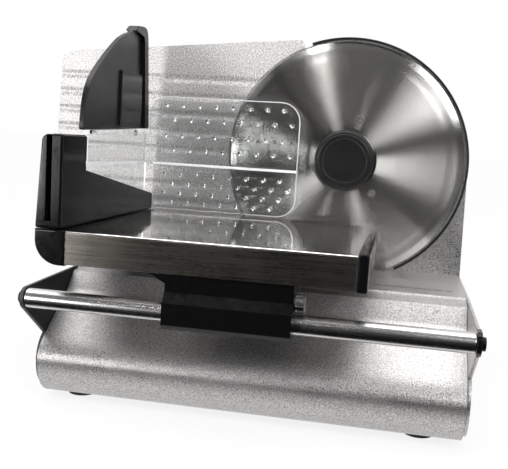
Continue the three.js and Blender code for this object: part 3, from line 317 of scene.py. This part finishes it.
# Bottom cover and feet: the cover is moulded in the side cover's ABS and closes the base from
# below. The machine stands on four round feet, moulded in soft black rubber.
# Moulded rubber: dull, warm dark grey and dusty. Its grain of 0.3 mm is drawn at 0.9 mm.
dress("bottom_cover", moulded_abs, 0.4)
soft_rubber = grain(surface("moulded_black_rubber", "1d1d1c", 0.0, 0.75),
                    0.9, 0.03, 0.2, 0.08, worn=0.4)
for corner in ("front_left", "front_right", "rear_left", "rear_right"):
    dress("foot_" + corner, soft_rubber, 0.8)


# Gear motor: a painted steel can on its gearbox, fixed behind the floor of the blade's recess.
# Its pinion of zinc-plated steel meshes with the blade's gear from below.
# Sprayed paint: a dull grey-blue with an orange peel of 1.5 mm.
painted_can = grain(surface("painted_motor_steel", "4c4f52", 0.4, 0.42), 1.5, 0.01, 0.1, 0.08)
dress("gear_motor", painted_can, 0.6)
dress("drive_pinion", zinc_screw, 0.12)


# Spindle: ground steel that turns in a bushing in the housing's boss. A spring ring holds it from
# behind.
# Sintered bronze: warm and dull. Its pores of 0.1 mm are drawn at 0.6 mm.
sintered_bronze = grain(surface("sintered_bronze", "a67c45", 1.0, 0.38), 0.6, 0.02, 0.14, 0.08)
dress("blade_spindle", zinc_screw, 0.3)
dress("spindle_bushing", sintered_bronze, 0.2)
dress("spindle_ring", zinc_screw, 0.15)


# Blade gear: a spur gear moulded in natural nylon. The blade's three screws hold it on the
# blade's back.
# Natural nylon: milky cream with a soft shine and flow marks of 0.8 mm.
natural_nylon = grain(surface("natural_nylon", "e2ddcc", 0.0, 0.5), 0.8, 0.01, 0.06, 0.06)
dress("blade_gear", natural_nylon, 0.12)


# Blade: a stainless steel disc, hollow ground behind a bright bevelled edge, and brushed in
# circles. Three low-headed steel screws hold it on its gear.
BLADE_RADIUS, BLADE_BORE, BEVEL = 95, 6.3, 5.4
BLADE_BACK, EDGE_BACK = -1.0, -0.8
STEEL = "d6d4d1"


def turned(name, profile, sides=128, start=0.0, sweep=360.0):
    """A profile of radius and Y, turned about the blade's axis; a part turn gets flat ends."""
    mesh = bmesh.new()
    whole = sweep >= 360
    count = sides if whole else sides + 1
    angles = [math.radians(start + sweep * i / sides) for i in range(count)]
    rings = []
    for radius, y in profile:
        if radius < 1e-6:
            rings.append([mesh.verts.new(at(0, y, 0))] * count)
        else:
            rings.append([mesh.verts.new(at(radius * math.cos(a), y, radius * math.sin(a)))
                          for a in angles])
    closed = profile[0][0] > 1e-6
    for i in range(len(rings) if closed else len(rings) - 1):
        one, two = rings[i], rings[(i + 1) % len(rings)]
        for k in range(sides):
            n = (k + 1) % count
            corners = list(dict.fromkeys((one[k], one[n], two[n], two[k])))
            if len(corners) > 2:
                mesh.faces.new(corners)
    if not whole:
        mesh.faces.new([ring[0] for ring in rings])
        mesh.faces.new([ring[-1] for ring in reversed(rings)])
    return settle(name, mesh)


blade_profile = rounded([
    (BLADE_BORE, -3.2), (81, -2.5, 1.4), (85, -2.15, 1.4), (BLADE_RADIUS - BEVEL, -2.1, 0.6),
    (BLADE_RADIUS, BLADE_BACK, 0.05), (BLADE_RADIUS, EDGE_BACK, 0.05),
    (BLADE_RADIUS - BEVEL, BLADE_BACK), (BLADE_BORE, BLADE_BACK),
], 0.1, 3)
blade = turned("slicing_blade", blade_profile, sides=288)
# Brushed stainless: the rings spread each light into a bright wedge across the disc.
blade_steel = surface("circle_brushed_stainless", STEEL, 1.0, 0.27, Anisotropic=1.0,
                      Anisotropic_Rotation=0.25)
tree = blade_steel.node_tree
shader = tree.nodes["Principled BSDF"]
around = add(tree, "ShaderNodeTangent", direction_type="RADIAL", axis="Y")
tree.links.new(around.outputs[0], shader.inputs["Tangent"])
spot = add(tree, "ShaderNodeTexCoord")
hub = add(tree, "ShaderNodeVectorMath", {0: spot.outputs["Object"], 1: at(0, 0, 0)},
          operation="SUBTRACT")
flat = add(tree, "ShaderNodeVectorMath", {0: hub.outputs[0], 1: (1, 0, 1)}, operation="MULTIPLY")
reach = add(tree, "ShaderNodeVectorMath", {0: flat.outputs[0]}, operation="LENGTH")
# The brushing lines are 0.1 mm apart in the real blade and are drawn 0.9 mm apart, 1100 a metre.
lines = add(tree, "ShaderNodeTexNoise", {
    "W": 0.0, "Scale": 1100.0, "Detail": 2.0, "Roughness": 0.8}, noise_dimensions="1D")
tree.links.new(reach.outputs["Value"], lines.inputs["W"])
sheen = add(tree, "ShaderNodeMapRange", {
    "Value": lines.outputs["Fac"], "From Min": 0.3, "From Max": 0.7,
    "To Min": 0.268, "To Max": 0.272})
tree.links.new(sheen.outputs[0], shader.inputs["Roughness"])
shade = add(tree, "ShaderNodeMapRange", {
    "Value": lines.outputs["Fac"], "From Min": 0.3, "From Max": 0.7,
    "To Min": 0.985, "To Max": 1.01})
dyed = add(tree, "ShaderNodeVectorMath", {0: tint(STEEL)[:3], "Scale": shade.outputs[0]},
           operation="SCALE")
tree.links.new(dyed.outputs[0], shader.inputs["Base Color"])
finish(blade, "blade_set", "blade", "blade_steel", blade_steel)
for number in (1, 2, 3):
    dress(f"blade_screw_{number}", zinc_screw, 0.25)


# Hub cap: a disc moulded in black ABS and pressed over the spindle's end. Two fine rings are
# sunk in its face near the rim.
# Satin ABS: black with a dim sheen, and pale where edges are rubbed. Its grain of 0.2 mm is drawn
# at 0.8 mm.
HUB_RADIUS, HUB_BORE = 24.4, 6.3
HUB_FACE, HUB_BACK, HUB_SEAT = -8, -3.5, -6.1
satin_abs = grain(surface("satin_black_abs", "101010", 0.0, 0.36, Specular_IOR_Level=0.4),
                  0.8, 0.03, 0.14, 0.07, worn=0.5)
hub_profile = rounded([
    (0, HUB_FACE, 0), (17.2, HUB_FACE, 0.3), (17.5, -7.7, 0.2), (18.1, -7.7, 0.2),
    (18.4, HUB_FACE, 0.3), (20.6, HUB_FACE, 0.6), (21, -7.5, 0.2), (21.6, -7.4, 0.2),
    (22.4, -7.4, 0.6), (HUB_RADIUS, -5.6, 1.0), (HUB_RADIUS, HUB_BACK, 0.2),
    (HUB_BORE, HUB_BACK, 0.2), (HUB_BORE, HUB_SEAT, 0.2), (0, HUB_SEAT, 0),
], 0.3, 3)
finish(turned("hub_disc", hub_profile, sides=144), "blade_set", "hub_cap", "handle_black",
       satin_abs)


# Guard ring: an aluminium strip rolled round the open part of the blade and fixed on the front
# panel. It reaches from the plate's notch at the top to just above the shelf on the right.
# Its aluminium is coloured dark brown-black: partly its own dark finish, partly painted shade for
# the gap between blade and guard. It has a metal's glint and is paler where the edges are rubbed.
# Its grain of 0.1 mm is drawn at 0.6 mm.
GUARD_INNER, GUARD_OUTER = 96.4, 98.3
GUARD_FRONT, GUARD_BACK = -2.3, -0.3
GUARD_END, GUARD_DROP = 109.5, 86.4  # its upper end in degrees; its lower end under the axis
dark_guard_and_shade = grain(surface("dark_aluminium_and_painted_shade", "3c3b3a", 0.9, 0.36),
                      0.6, 0.01, 0.12, 0.08, worn=0.4)
guard_low = -math.degrees(math.asin(GUARD_DROP / GUARD_OUTER))
guard_profile = rounded([(GUARD_INNER, GUARD_FRONT), (GUARD_OUTER, GUARD_FRONT),
                         (GUARD_OUTER, GUARD_BACK), (GUARD_INNER, GUARD_BACK)], 0.45, 3)
finish(turned("guard_ring", guard_profile, sides=150, start=guard_low,
              sweep=GUARD_END - guard_low), "base", "blade_guard", "guard_metal", dark_guard_and_shade)


# Thickness plate: cast aluminium with level flutes that let the food slide, and an edge that
# follows the blade. Behind it a milled aluminium carrier slides on its pins, moved by a steel
# spindle and a moulded knob at the machine's back.
PLATE_RADIUS, PLATE_THICK = 96.9, 6
PLATE_LEFT, PLATE_BOTTOM, NOTCH_X = -252, -70, -38.8
FLUTE_PITCH, FLUTE_DEPTH, FLUTE_HALF = 14.8, 1.0, 4.4
TOP_FLUTE, FLUTES, FACE_TOP = 59.6, 9, 102.3
notch = math.degrees(math.acos(NOTCH_X / PLATE_RADIUS))
low_edge = 180 + math.degrees(math.asin(-PLATE_BOTTOM / PLATE_RADIUS))
plate_edge = [(x, z, 0) for x, z in arc(0, 0, PLATE_RADIUS, low_edge, notch, 72)]
plate_edge += [(-41.2, 95.0, 1.5), (PLATE_LEFT + 2.6, 78.6, 20), (PLATE_LEFT + 3, 62, 4),
               (PLATE_LEFT, 8, 20), (PLATE_LEFT, PLATE_BOTTOM, 10)]
plate_face = [(PLATE_THICK, PLATE_BOTTOM - 2), (0, PLATE_BOTTOM - 2)]
for flute in reversed(range(FLUTES)):
    middle = TOP_FLUTE - flute * FLUTE_PITCH
    for step in range(-8, 9):
        swing = step / 8
        depth = FLUTE_DEPTH / 2 * (1 + math.cos(math.pi * swing))
        plate_face.append((depth, middle + FLUTE_HALF * swing))
plate_face += [(0, FACE_TOP), (PLATE_THICK, FACE_TOP)]
plate = pushed("fluted_plate", plate_edge, "Y", 0, PLATE_THICK, curve=8)
combine(plate, "INTERSECT", pushed("flutes", plate_face, "X", PLATE_LEFT - 2, 0))
# Silver coat over sand-blasted metal: pale and dull with a fine sparkle, its grit of 0.3 mm drawn
# at 1.1 mm. Satin aluminium: a plain light metal, its grain of 0.1 mm drawn at 0.6 mm.
sand_coat = grain(surface("sand_blasted_silver_coat", "d9d6d5", 0.8, 0.52), 1.1, 0.26, 0.5, 0.1)
satin_aluminium = grain(surface("satin_aluminium", "c9c9c7", 1.0, 0.3), 0.6, 0.006, 0.06, 0.06)
round_edges(finish(plate, "plate_set", "thickness_plate", "plate_metal", sand_coat), 0.7, above=50)
dress("plate_carrier", satin_aluminium, 0.4)
dress("thickness_spindle", zinc_screw, 0.4)
dress("thickness_knob", satin_abs, 0.8)


# Rear cover: moulded in black ABS with cooling vents and a bulge over the motor. It closes the
# body from behind. The rocker switch in its bezel and the rubber gland snap into it.
# Polished red ABS: deep red and shiny, with flow marks of 2 mm.
dress("rear_cover", moulded_abs, 0.8)
dress("switch_bezel", gloss_abs, 0.5)
rocker_red = grain(surface("polished_red_abs", "8a1712", 0.0, 0.24), 2.0, 0.004, 0.08, 0.05)
dress("rocker_switch", rocker_red, 0.7)
dress("cord_gland", soft_rubber, 0.5)


# Carriage block: moulded in polished black plastic, bored for the rail, and screwed on under the
# tray. A ribbed lock screw of bright plated steel stands out at its right end.
dress("carriage_block", gloss_abs, 1.0)
dress("carriage_lock_screw", chrome_plate, 0.2)


# Tray: one stainless sheet, cut out and folded down along its front. Two screws hold it on the
# carriage block.
TRAY_LEFT, TRAY_RIGHT = -155.2, 26
TRAY_FRONT, TRAY_REAR = -192, -9
TRAY_TOP, FOLD_LOW, SHEET = -51.3, -72.5, 1.2
tray_profile = [
    (TRAY_REAR, TRAY_TOP, 0.3), (TRAY_FRONT, TRAY_TOP, 1.9), (TRAY_FRONT, FOLD_LOW, 0.4),
    (TRAY_FRONT + SHEET, FOLD_LOW, 0.4), (TRAY_FRONT + SHEET, TRAY_TOP - SHEET, 0.9),
    (TRAY_REAR, TRAY_TOP - SHEET, 0.3),
]
tray = pushed("folded_tray", tray_profile, "X", TRAY_LEFT, TRAY_RIGHT)
# Polished stainless: a mirror with faint marks along the sheet, finer in fact than the 0.8 mm they
# are drawn with. Brushed stainless: each light is drawn out upwards and downwards. Its lines are
# 0.1 mm high and are drawn 0.7 mm high.
polished_tray = grain(surface("polished_stainless_sheet", "ebe9e7", 1.0, 0.07),
                      0.8, 0.003, 0.05, 0.05, stretch=(0.02, 1, 1))
brushed_tray = grain(surface("level_brushed_stainless", "9c968f", 1.0, 0.28, Anisotropic=0.8,
                             Anisotropic_Rotation=0.25),
                     0.7, 0.004, 0.1, 0.04, stretch=(0.012, 1, 1))
tree = brushed_tray.node_tree
across = add(tree, "ShaderNodeTangent", direction_type="RADIAL", axis="Z")
tree.links.new(across.outputs[0], tree.nodes["Principled BSDF"].inputs["Tangent"])
finish(tray, "carriage", "tray", "tray_steel", polished_tray, brushed_tray)
for face in tray.data.polygons:
    if face.normal.y < -0.85 and face.center.y < at(0, TRAY_FRONT + SHEET / 2, 0).y:
        face.material_index = 1
round_edges(tray, 0.25)


# Edge cap: moulded in polished black ABS and pushed over the tray's right edge, so that no sheet
# edge is left open. Its rear lower corner is round.
CAP_TOP, CAP_LOW, CAP_FRONT, CAP_REAR = -50.1, -73.5, -192.9, -50
CAP_INNER, CAP_OUTER = 26.3, 32.9
edge_cap = [(CAP_FRONT, CAP_TOP, 1.4), (CAP_FRONT, CAP_LOW, 2.6), (CAP_REAR, CAP_LOW, 12),
            (CAP_REAR, CAP_TOP, 1.4)]
even(finish(pushed("edge_cap", edge_cap, "X", CAP_INNER, CAP_OUTER, 1.3), "carriage",
            "tray_right_cap", "black_gloss", gloss_abs))


# Left end of the carriage: a rounded bar along the tray's left edge, and on it the guide wall
# with its front post and a slot for the pusher. Both are moulded in polished black ABS.
CARRIAGE_FRONT, CARRIAGE_REAR = -192.5, -13
BAR_RIGHT, BAR_TOP, BAR_LOW, BAR_CURVE = -155.5, -50.9, -73.5, 16
WALL_INNER, WALL_OUTER, WALL_TOP, WALL_LOW = -158.2, -175.7, 8.5, -50.6
WING_X = (WALL_INNER + WALL_OUTER) / 2
POST_REAR, POST_FOOT, WALL_END = -156, -14.5, -37.7
SLOT_HALF, SLOT_LOW, SLOT_TOP = 1.8, -46, 12
bar_end = [(BAR_RIGHT, BAR_TOP), (WALL_OUTER, BAR_TOP)]
bar_end += arc(WALL_OUTER + BAR_CURVE, BAR_LOW + BAR_CURVE, BAR_CURVE, 180, 270, 16)
bar_end += [(BAR_RIGHT, BAR_LOW)]
even(finish(pushed("end_bar", bar_end, "Y", CARRIAGE_FRONT, CARRIAGE_REAR, 1.4), "carriage",
            "tray_left_bar", "black_gloss", gloss_abs))
wall_end = [
    (WALL_INNER, WALL_LOW, 1.8), (WALL_INNER, WALL_TOP, 1.8), (WALL_OUTER + 3.2, WALL_TOP, 7),
    (WALL_OUTER + 2.8, -2, 3), (WALL_OUTER, WALL_LOW, 1.8),
]
wall_side = [
    (CARRIAGE_FRONT - 1, WALL_LOW - 1), (CARRIAGE_FRONT - 1, WALL_TOP + 1),
    (POST_REAR, WALL_TOP + 1), (POST_REAR, POST_FOOT, 1.5),
    (CARRIAGE_REAR + 1, WALL_END), (CARRIAGE_REAR + 1, WALL_LOW - 1),
]
wall = pushed("slotted_wall", wall_end, "Y", CARRIAGE_FRONT, CARRIAGE_REAR, 1.6)
combine(wall, "INTERSECT", pushed("wall_side", wall_side, "X", WALL_OUTER - 3, WALL_INNER + 3))
slot_outline = [(WING_X - SLOT_HALF, SLOT_LOW), (WING_X + SLOT_HALF, SLOT_LOW),
                (WING_X + SLOT_HALF, SLOT_TOP), (WING_X - SLOT_HALF, SLOT_TOP)]
combine(wall, "DIFFERENCE",
        pushed("wall_slot", slot_outline, "Y", CARRIAGE_FRONT - 3.5, CARRIAGE_REAR + 4))
round_edges(finish(wall, "carriage", "tray_guide_wall", "black_gloss", gloss_abs), 0.5, above=50)


# Pusher: moulded in clear acrylic in one piece: a plate with rows of teeth and a rib, and a wing
# that runs in the guide wall's slot and carries the handle on a saddle.
PUSHER_LEFT, PUSHER_RIGHT, PUSHER_LOW, PUSHER_TOP = -157.8, -36.4, -49.5, 43.5
PUSHER_FRONT, PUSHER_REAR = -16, -13
WING_HALF, WING_TOP, WING_LOW, WING_FRONT = 1.4, 12.5, -45.4, -136.5
SADDLE_REAR, SADDLE_FRONT, SADDLE_LOW, SADDLE_HALF = -44.5, -122.5, 9.2, 4
RIB_LOW, RIB_TOP, RIB_PROUD, EAR_LOW = -12.8, -10.7, 2.4, -12
TOOTH_ROWS = [36.5, 24.8, 11.7, 0, -20.5, -28.2, -36, -43.7]
TOOTH_LEFT, TOOTH_PITCH, TOOTH_HALF, TOOTH_HEIGHT = -148.5, 14, 2.3, 2.6
TOOTH_MARGIN, CORNER_WIDE, CORNER_HIGH = 4, 14, 9
plate_outline = [(PUSHER_LEFT, PUSHER_LOW)]
plate_outline += arc(PUSHER_RIGHT - 15, PUSHER_LOW + 15, 15, -90, 0, 10)
plate_outline += arc(PUSHER_RIGHT - 16, PUSHER_TOP - 16, 16, 0, 90, 10)
plate_outline += arc(PUSHER_LEFT + 10, PUSHER_TOP - 15, 15, 90, 180, 10)
plate_outline += [(PUSHER_LEFT - 5, WING_TOP), (WING_X - WING_HALF, WING_TOP),
                  (WING_X - WING_HALF, EAR_LOW), (PUSHER_LEFT, EAR_LOW)]
wing_outline = [
    (PUSHER_REAR, WING_LOW), (PUSHER_REAR, WING_TOP), (SADDLE_REAR, WING_TOP, 1),
    (SADDLE_FRONT, 10, 1), (WING_FRONT, 8.5, 2), (WING_FRONT, WING_LOW, 2),
]
saddle_outline = [(SADDLE_REAR, SADDLE_LOW), (SADDLE_REAR, 14.95), (SADDLE_FRONT, 12.27),
                  (SADDLE_FRONT, SADDLE_LOW)]
rib_outline = [(PUSHER_LEFT, RIB_LOW), (PUSHER_RIGHT - 0.5, RIB_LOW),
               (PUSHER_RIGHT - 0.5, RIB_TOP), (PUSHER_LEFT, RIB_TOP)]
pusher = pushed("toothed_pusher", plate_outline, "Y", PUSHER_FRONT, PUSHER_REAR, 0.7)
wing = pushed("wing", wing_outline, "X", WING_X - WING_HALF, WING_X + WING_HALF, 0.6)
saddle = pushed("saddle", saddle_outline, "X", WING_X - SADDLE_HALF, WING_X + SADDLE_HALF, 0.5)
rib = pushed("rib", rib_outline, "Y", PUSHER_FRONT - RIB_PROUD, PUSHER_FRONT + 1, 0.5)
# A white, frosted strip carries the rib's line on over the wing: a painted highlight.
line_outline = [(WING_FRONT + 0.5, -13.2), (PUSHER_REAR, -12.4), (PUSHER_REAR, -10.6),
                (WING_FRONT + 0.5, -9.8)]
line = pushed("painted_highlight_strip", line_outline, "X", WING_X - WING_HALF - 0.05,
              WING_X + WING_HALF + 0.05)
# Clear acrylic: glassy, with flow marks of 6 mm. Frosted acrylic scatters light and looks white; on
# the wing's and saddle's edges, the rib and the strip this white is also painted highlight for the
# light that clear edges catch and mirror inside, and the moulded rim gets half of it. The scratches
# are drawn at 0.5 and 0.8 mm and are finer in fact.
clear_acrylic = grain(surface("clear_moulded_acrylic", "f6f8f8", 0.0, 0.03, IOR=1.49,
                              Transmission_Weight=1.0), 6.0, 0.003, 0.01, 0.01)
frost_and_highlight_acrylic = grain(surface("frosted_acrylic_painted_highlight", "fbfbfb", 0.0, 0.3, IOR=1.49,
                                Transmission_Weight=0.15), 0.5, 0.02, 0.02, 0.08)
rim_highlight_acrylic = grain(surface("acrylic_rim_painted_highlight", "fbfbfb", 0.0, 0.2, IOR=1.49,
                            Transmission_Weight=0.5), 0.8, 0.01, 0.02, 0.05)
teeth = bmesh.new()
for row, z in enumerate(TOOTH_ROWS):
    x = TOOTH_LEFT + (TOOTH_PITCH / 2 if row % 2 else 0)
    while x < PUSHER_RIGHT - TOOTH_MARGIN:
        near_corner = x > PUSHER_RIGHT - CORNER_WIDE and (
            z > PUSHER_TOP - CORNER_HIGH or z < PUSHER_LOW + CORNER_HIGH)
        if not near_corner:
            foot = [teeth.verts.new(at(x + TOOTH_HALF * u, PUSHER_REAR - 0.4, z + TOOTH_HALF * v))
                    for u, v in ((1, 0), (0, 1), (-1, 0), (0, -1))]
            tip = teeth.verts.new(at(x, PUSHER_REAR + TOOTH_HEIGHT, z))
            teeth.faces.new(foot)
            for i in range(4):
                teeth.faces.new((foot[i], foot[(i + 1) % 4], tip))
        x += TOOTH_PITCH
tooth_set = settle("teeth", teeth)
for part in (pusher, wing, saddle, rib, line, tooth_set):
    for acrylic in (clear_acrylic, frost_and_highlight_acrylic, rim_highlight_acrylic):
        part.data.materials.append(acrylic)
# Edges, the rib and the strip take the white acrylic: painted highlight on clear edges.
for part in (pusher, wing, saddle, rib, line):
    edge_highlight_kind = 2 if part is pusher else 1
    for face in part.data.polygons:
        broad = abs(face.normal.y) > 0.98 or part in (wing, saddle) and abs(face.normal.x) > 0.98
        face.material_index = 0 if broad and part not in (rib, line) else edge_highlight_kind
combine(pusher, "UNION", wing, saddle, rib, line, tooth_set)
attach(pusher, "pusher_set")
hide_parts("pusher")
even(pusher, above=30)


# Pusher handle: a fin moulded in the hub cap's satin ABS, with a raised rim round a thin web, a
# boss on the web, and a thicker column and cap at its rear. It is pressed on the wing's saddle.
HANDLE_REAR, HANDLE_BOTTOM = -17, 16.2
HANDLE_LENGTH, HANDLE_HEIGHT, HANDLE_DROP = 128, 79.8, 4.4
FIN_HALF, WEB_HALF, COLUMN_HALF, RIM = 2.2, 1.3, 4.5, 2.6
COLUMN_FRONT = HANDLE_REAR - 39.7
BOSS_FRONT, BOSS_REAR, BOSS_TOP, BOSS_NEAR = HANDLE_REAR - 63, HANDLE_REAR - 17, 58.2, 3.2
fin_shares = [
    (0, 0), (0.08, 0.9), (0.09, 0.955), (0.12, 0.995), (0.16, 1), (0.26, 0.985), (0.285, 0.965),
    (0.33, 0.905), (0.4, 0.88), (0.51, 0.815), (0.61, 0.727), (0.7, 0.64), (0.78, 0.555),
    (0.853, 0.472), (0.915, 0.385), (0.953, 0.303), (0.975, 0.22), (0.986, 0.153), (1, 0),
]
fin = [(HANDLE_REAR - along * HANDLE_LENGTH, HANDLE_BOTTOM + up * HANDLE_HEIGHT, 2.5)
       for along, up in fin_shares]
fin.append((HANDLE_REAR - HANDLE_LENGTH + 0.3, HANDLE_BOTTOM - HANDLE_DROP, 1.2))
web_edge = shrunk(fin, RIM)
column_edge = [
    (HANDLE_REAR + 5, 8), (HANDLE_REAR + 5, 101), (COLUMN_FRONT, 101), (COLUMN_FRONT, 90.4),
    (HANDLE_REAR - 20.5, 88), (HANDLE_REAR - 18.6, 84), (HANDLE_REAR - 9, 8),
]
boss_edge = [(BOSS_FRONT, HANDLE_BOTTOM), (BOSS_REAR, HANDLE_BOTTOM), (BOSS_REAR, BOSS_TOP),
             (BOSS_FRONT, BOSS_TOP)]
handle = pushed("fin_handle", fin, "X", WING_X - FIN_HALF, WING_X + FIN_HALF, 0.7, curve=3)
combine(handle, "DIFFERENCE",
        pushed("near_web", web_edge, "X", WING_X + WEB_HALF, WING_X + 9, curve=3),
        pushed("far_web", web_edge, "X", WING_X - 9, WING_X - WEB_HALF, curve=3))
column = pushed("column", fin, "X", WING_X - COLUMN_HALF, WING_X + COLUMN_HALF, 1.0, curve=3)
combine(column, "INTERSECT", pushed("column_edge", column_edge, "X", WING_X - 20, WING_X + 20))
combine(handle, "UNION", column,
        pushed("boss", boss_edge, "X", WING_X - 3, WING_X + BOSS_NEAR, 0.6, reach=1.5))
finish(handle, "pusher_set", "pusher_handle", "handle_black", satin_abs, gloss_abs)
# The boss's near face gets the darker polished black: painted shade that sets it darker than the
# web.
for face in handle.data.polygons:
    if at(WING_X + 2.8, 0, 0).x < face.center.x < at(WING_X + BOSS_NEAR + 0.1, 0, 0).x:
        face.material_index = 1
even(handle)


# Studio: a plain pale floor, a white surround and soft lamps, as on a photographer's table. Felt
# cards stand in front and lie on the floor, so that metal and black plastic mirror something dark.
SURROUND = 0.25  # what the surround lights with, against the 1.0 it is seen with
FLOOR_SEEN = 0.85  # the floor's share of plain white; the rest takes light and shadow
AIM = (0.0746, 0.05, 0.16)


def lamp(name, place, target, size, power, spread=180):
    """A soft rectangular lamp that faces a point; a grid narrows its spread."""
    light = bpy.data.lights.new(name, "AREA")
    light.shape = "RECTANGLE"
    light.size, light.size_y = size
    light.energy = power
    light.spread = math.radians(spread)
    made = bpy.data.objects.new(name, light)
    bpy.context.scene.collection.objects.link(made)
    made.location = place
    made.rotation_euler = (Vector(target) - Vector(place)).to_track_quat("-Z", "Y").to_euler()
    return made


def panel(name, corners, material):
    """A flat card or floor that is no part of the object."""
    data = bpy.data.meshes.new(name)
    data.from_pydata(corners, [], [(0, 1, 2, 3)])
    data.materials.append(material)
    made = bpy.data.objects.new(name, data)
    bpy.context.scene.collection.objects.link(made)
    return made


def seen_straight(tree):
    """1 for rays that see the background: from the camera, in a mirror or through glass."""
    rays = add(tree, "ShaderNodeLightPath")
    either = add(tree, "ShaderNodeMath", {
        0: rays.outputs["Is Camera Ray"], 1: rays.outputs["Is Glossy Ray"]}, operation="MAXIMUM")
    return add(tree, "ShaderNodeMath", {
        0: either.outputs[0], 1: rays.outputs["Is Transmission Ray"]},
        operation="MAXIMUM").outputs[0]


world = bpy.data.worlds.new("pale_surround")
bpy.context.scene.world = world
world.use_nodes = True
tree = world.node_tree
tree.nodes.clear()
level = add(tree, "ShaderNodeMapRange", {
    "Value": seen_straight(tree), "To Min": SURROUND, "To Max": 1.0})
sky = add(tree, "ShaderNodeBackground", {"Color": (1, 1, 1, 1), "Strength": level.outputs[0]})
add(tree, "ShaderNodeOutputWorld", {"Surface": sky.outputs[0]})

pale = bpy.data.materials.new("pale_floor")
pale.use_nodes = True
tree = pale.node_tree
tree.nodes.clear()
share = add(tree, "ShaderNodeMath", {0: seen_straight(tree), 1: FLOOR_SEEN}, operation="MULTIPLY")
matt = add(tree, "ShaderNodeBsdfDiffuse", {"Color": (0.86, 0.86, 0.86, 1)})
glow = add(tree, "ShaderNodeEmission", {"Color": (1, 1, 1, 1), "Strength": 1.0})
mixed = add(tree, "ShaderNodeMixShader", {
    0: share.outputs[0], 1: matt.outputs[0], 2: glow.outputs[0]})
add(tree, "ShaderNodeOutputMaterial", {"Surface": mixed.outputs[0]})
panel("floor", [(-30, -30, 0), (30, -30, 0), (30, 30, 0), (-30, 30, 0)], pale)

# Black felt: gives no light back. Only mirrors and clear pieces show the cards.
black_felt = surface("black_felt", "060606", 0.0, 1.0, Specular_IOR_Level=0.0)
flags = {
    "front_flag": [(-2.0, -1.9, 0.0), (2.4, -1.9, 0.0), (2.4, -1.9, 2.0), (-2.0, -1.9, 2.0)],
    "low_flag": [(-1.6, -1.9, 0.004), (2.0, -1.9, 0.004), (2.0, -0.14, 0.004),
                 (-1.6, -0.14, 0.004)],
    "high_flag": [(-2.0, -1.9, 2.0), (2.4, -1.9, 2.0), (2.4, -0.6, 2.0), (-2.0, -0.6, 2.0)],
    "right_flag": [(2.0, -1.9, 0.0), (2.0, -0.3, 0.0), (2.0, -0.3, 2.0), (2.0, -1.9, 2.0)],
}
for name, corners in flags.items():
    flag = panel(name, corners, black_felt)
    flag.visible_camera = False
    flag.visible_diffuse = False
    flag.visible_shadow = False

lamp("wedge_lamp", (-0.29, -1.02, 1.00), (0.0746, 0.05, 0.23), (0.09, 0.3), 0.026, 16)
lamp("right_lamp", (0.80, -1.00, 0.80), AIM, (0.62, 0.5), 9.5)
lamp("left_lamp", (-0.70, -1.04, 0.21), AIM, (0.26, 0.32), 4.4)
lamp("side_lamp", (-1.25, -0.45, 0.30), AIM, (0.5, 0.5), 4)
sun = bpy.data.lights.new("soft_sun", "SUN")
sun.energy = 2.6
sun.angle = math.radians(70)
sun_lamp = bpy.data.objects.new("soft_sun", sun)
bpy.context.scene.collection.objects.link(sun_lamp)
sun_lamp.rotation_euler = (math.radians(12), math.radians(-8), 0)


# Camera: fitted to the picture's perspective. It stands 10.5 degrees to the right of the front,
# looks 6.8 degrees down and is rolled by 3.4 degrees.
STAND, LENS = (0.12224, -0.58838, 0.1846), 55.195
TURN, DIP, ROLL = 10.5166, 6.8238, 3.4491
view = bpy.data.cameras.new("photo_view")
view.sensor_width = 36
view.lens = LENS
camera = bpy.data.objects.new("photo_view", view)
bpy.context.scene.collection.objects.link(camera)
camera.matrix_world = (Matrix.Translation(STAND)
                       @ Matrix.Rotation(math.radians(TURN), 4, "Z")
                       @ Matrix.Rotation(math.radians(90 - DIP), 4, "X")
                       @ Matrix.Rotation(math.radians(ROLL), 4, "Z"))
bpy.context.scene.camera = camera
bpy.context.scene.view_settings.view_transform = "Standard"
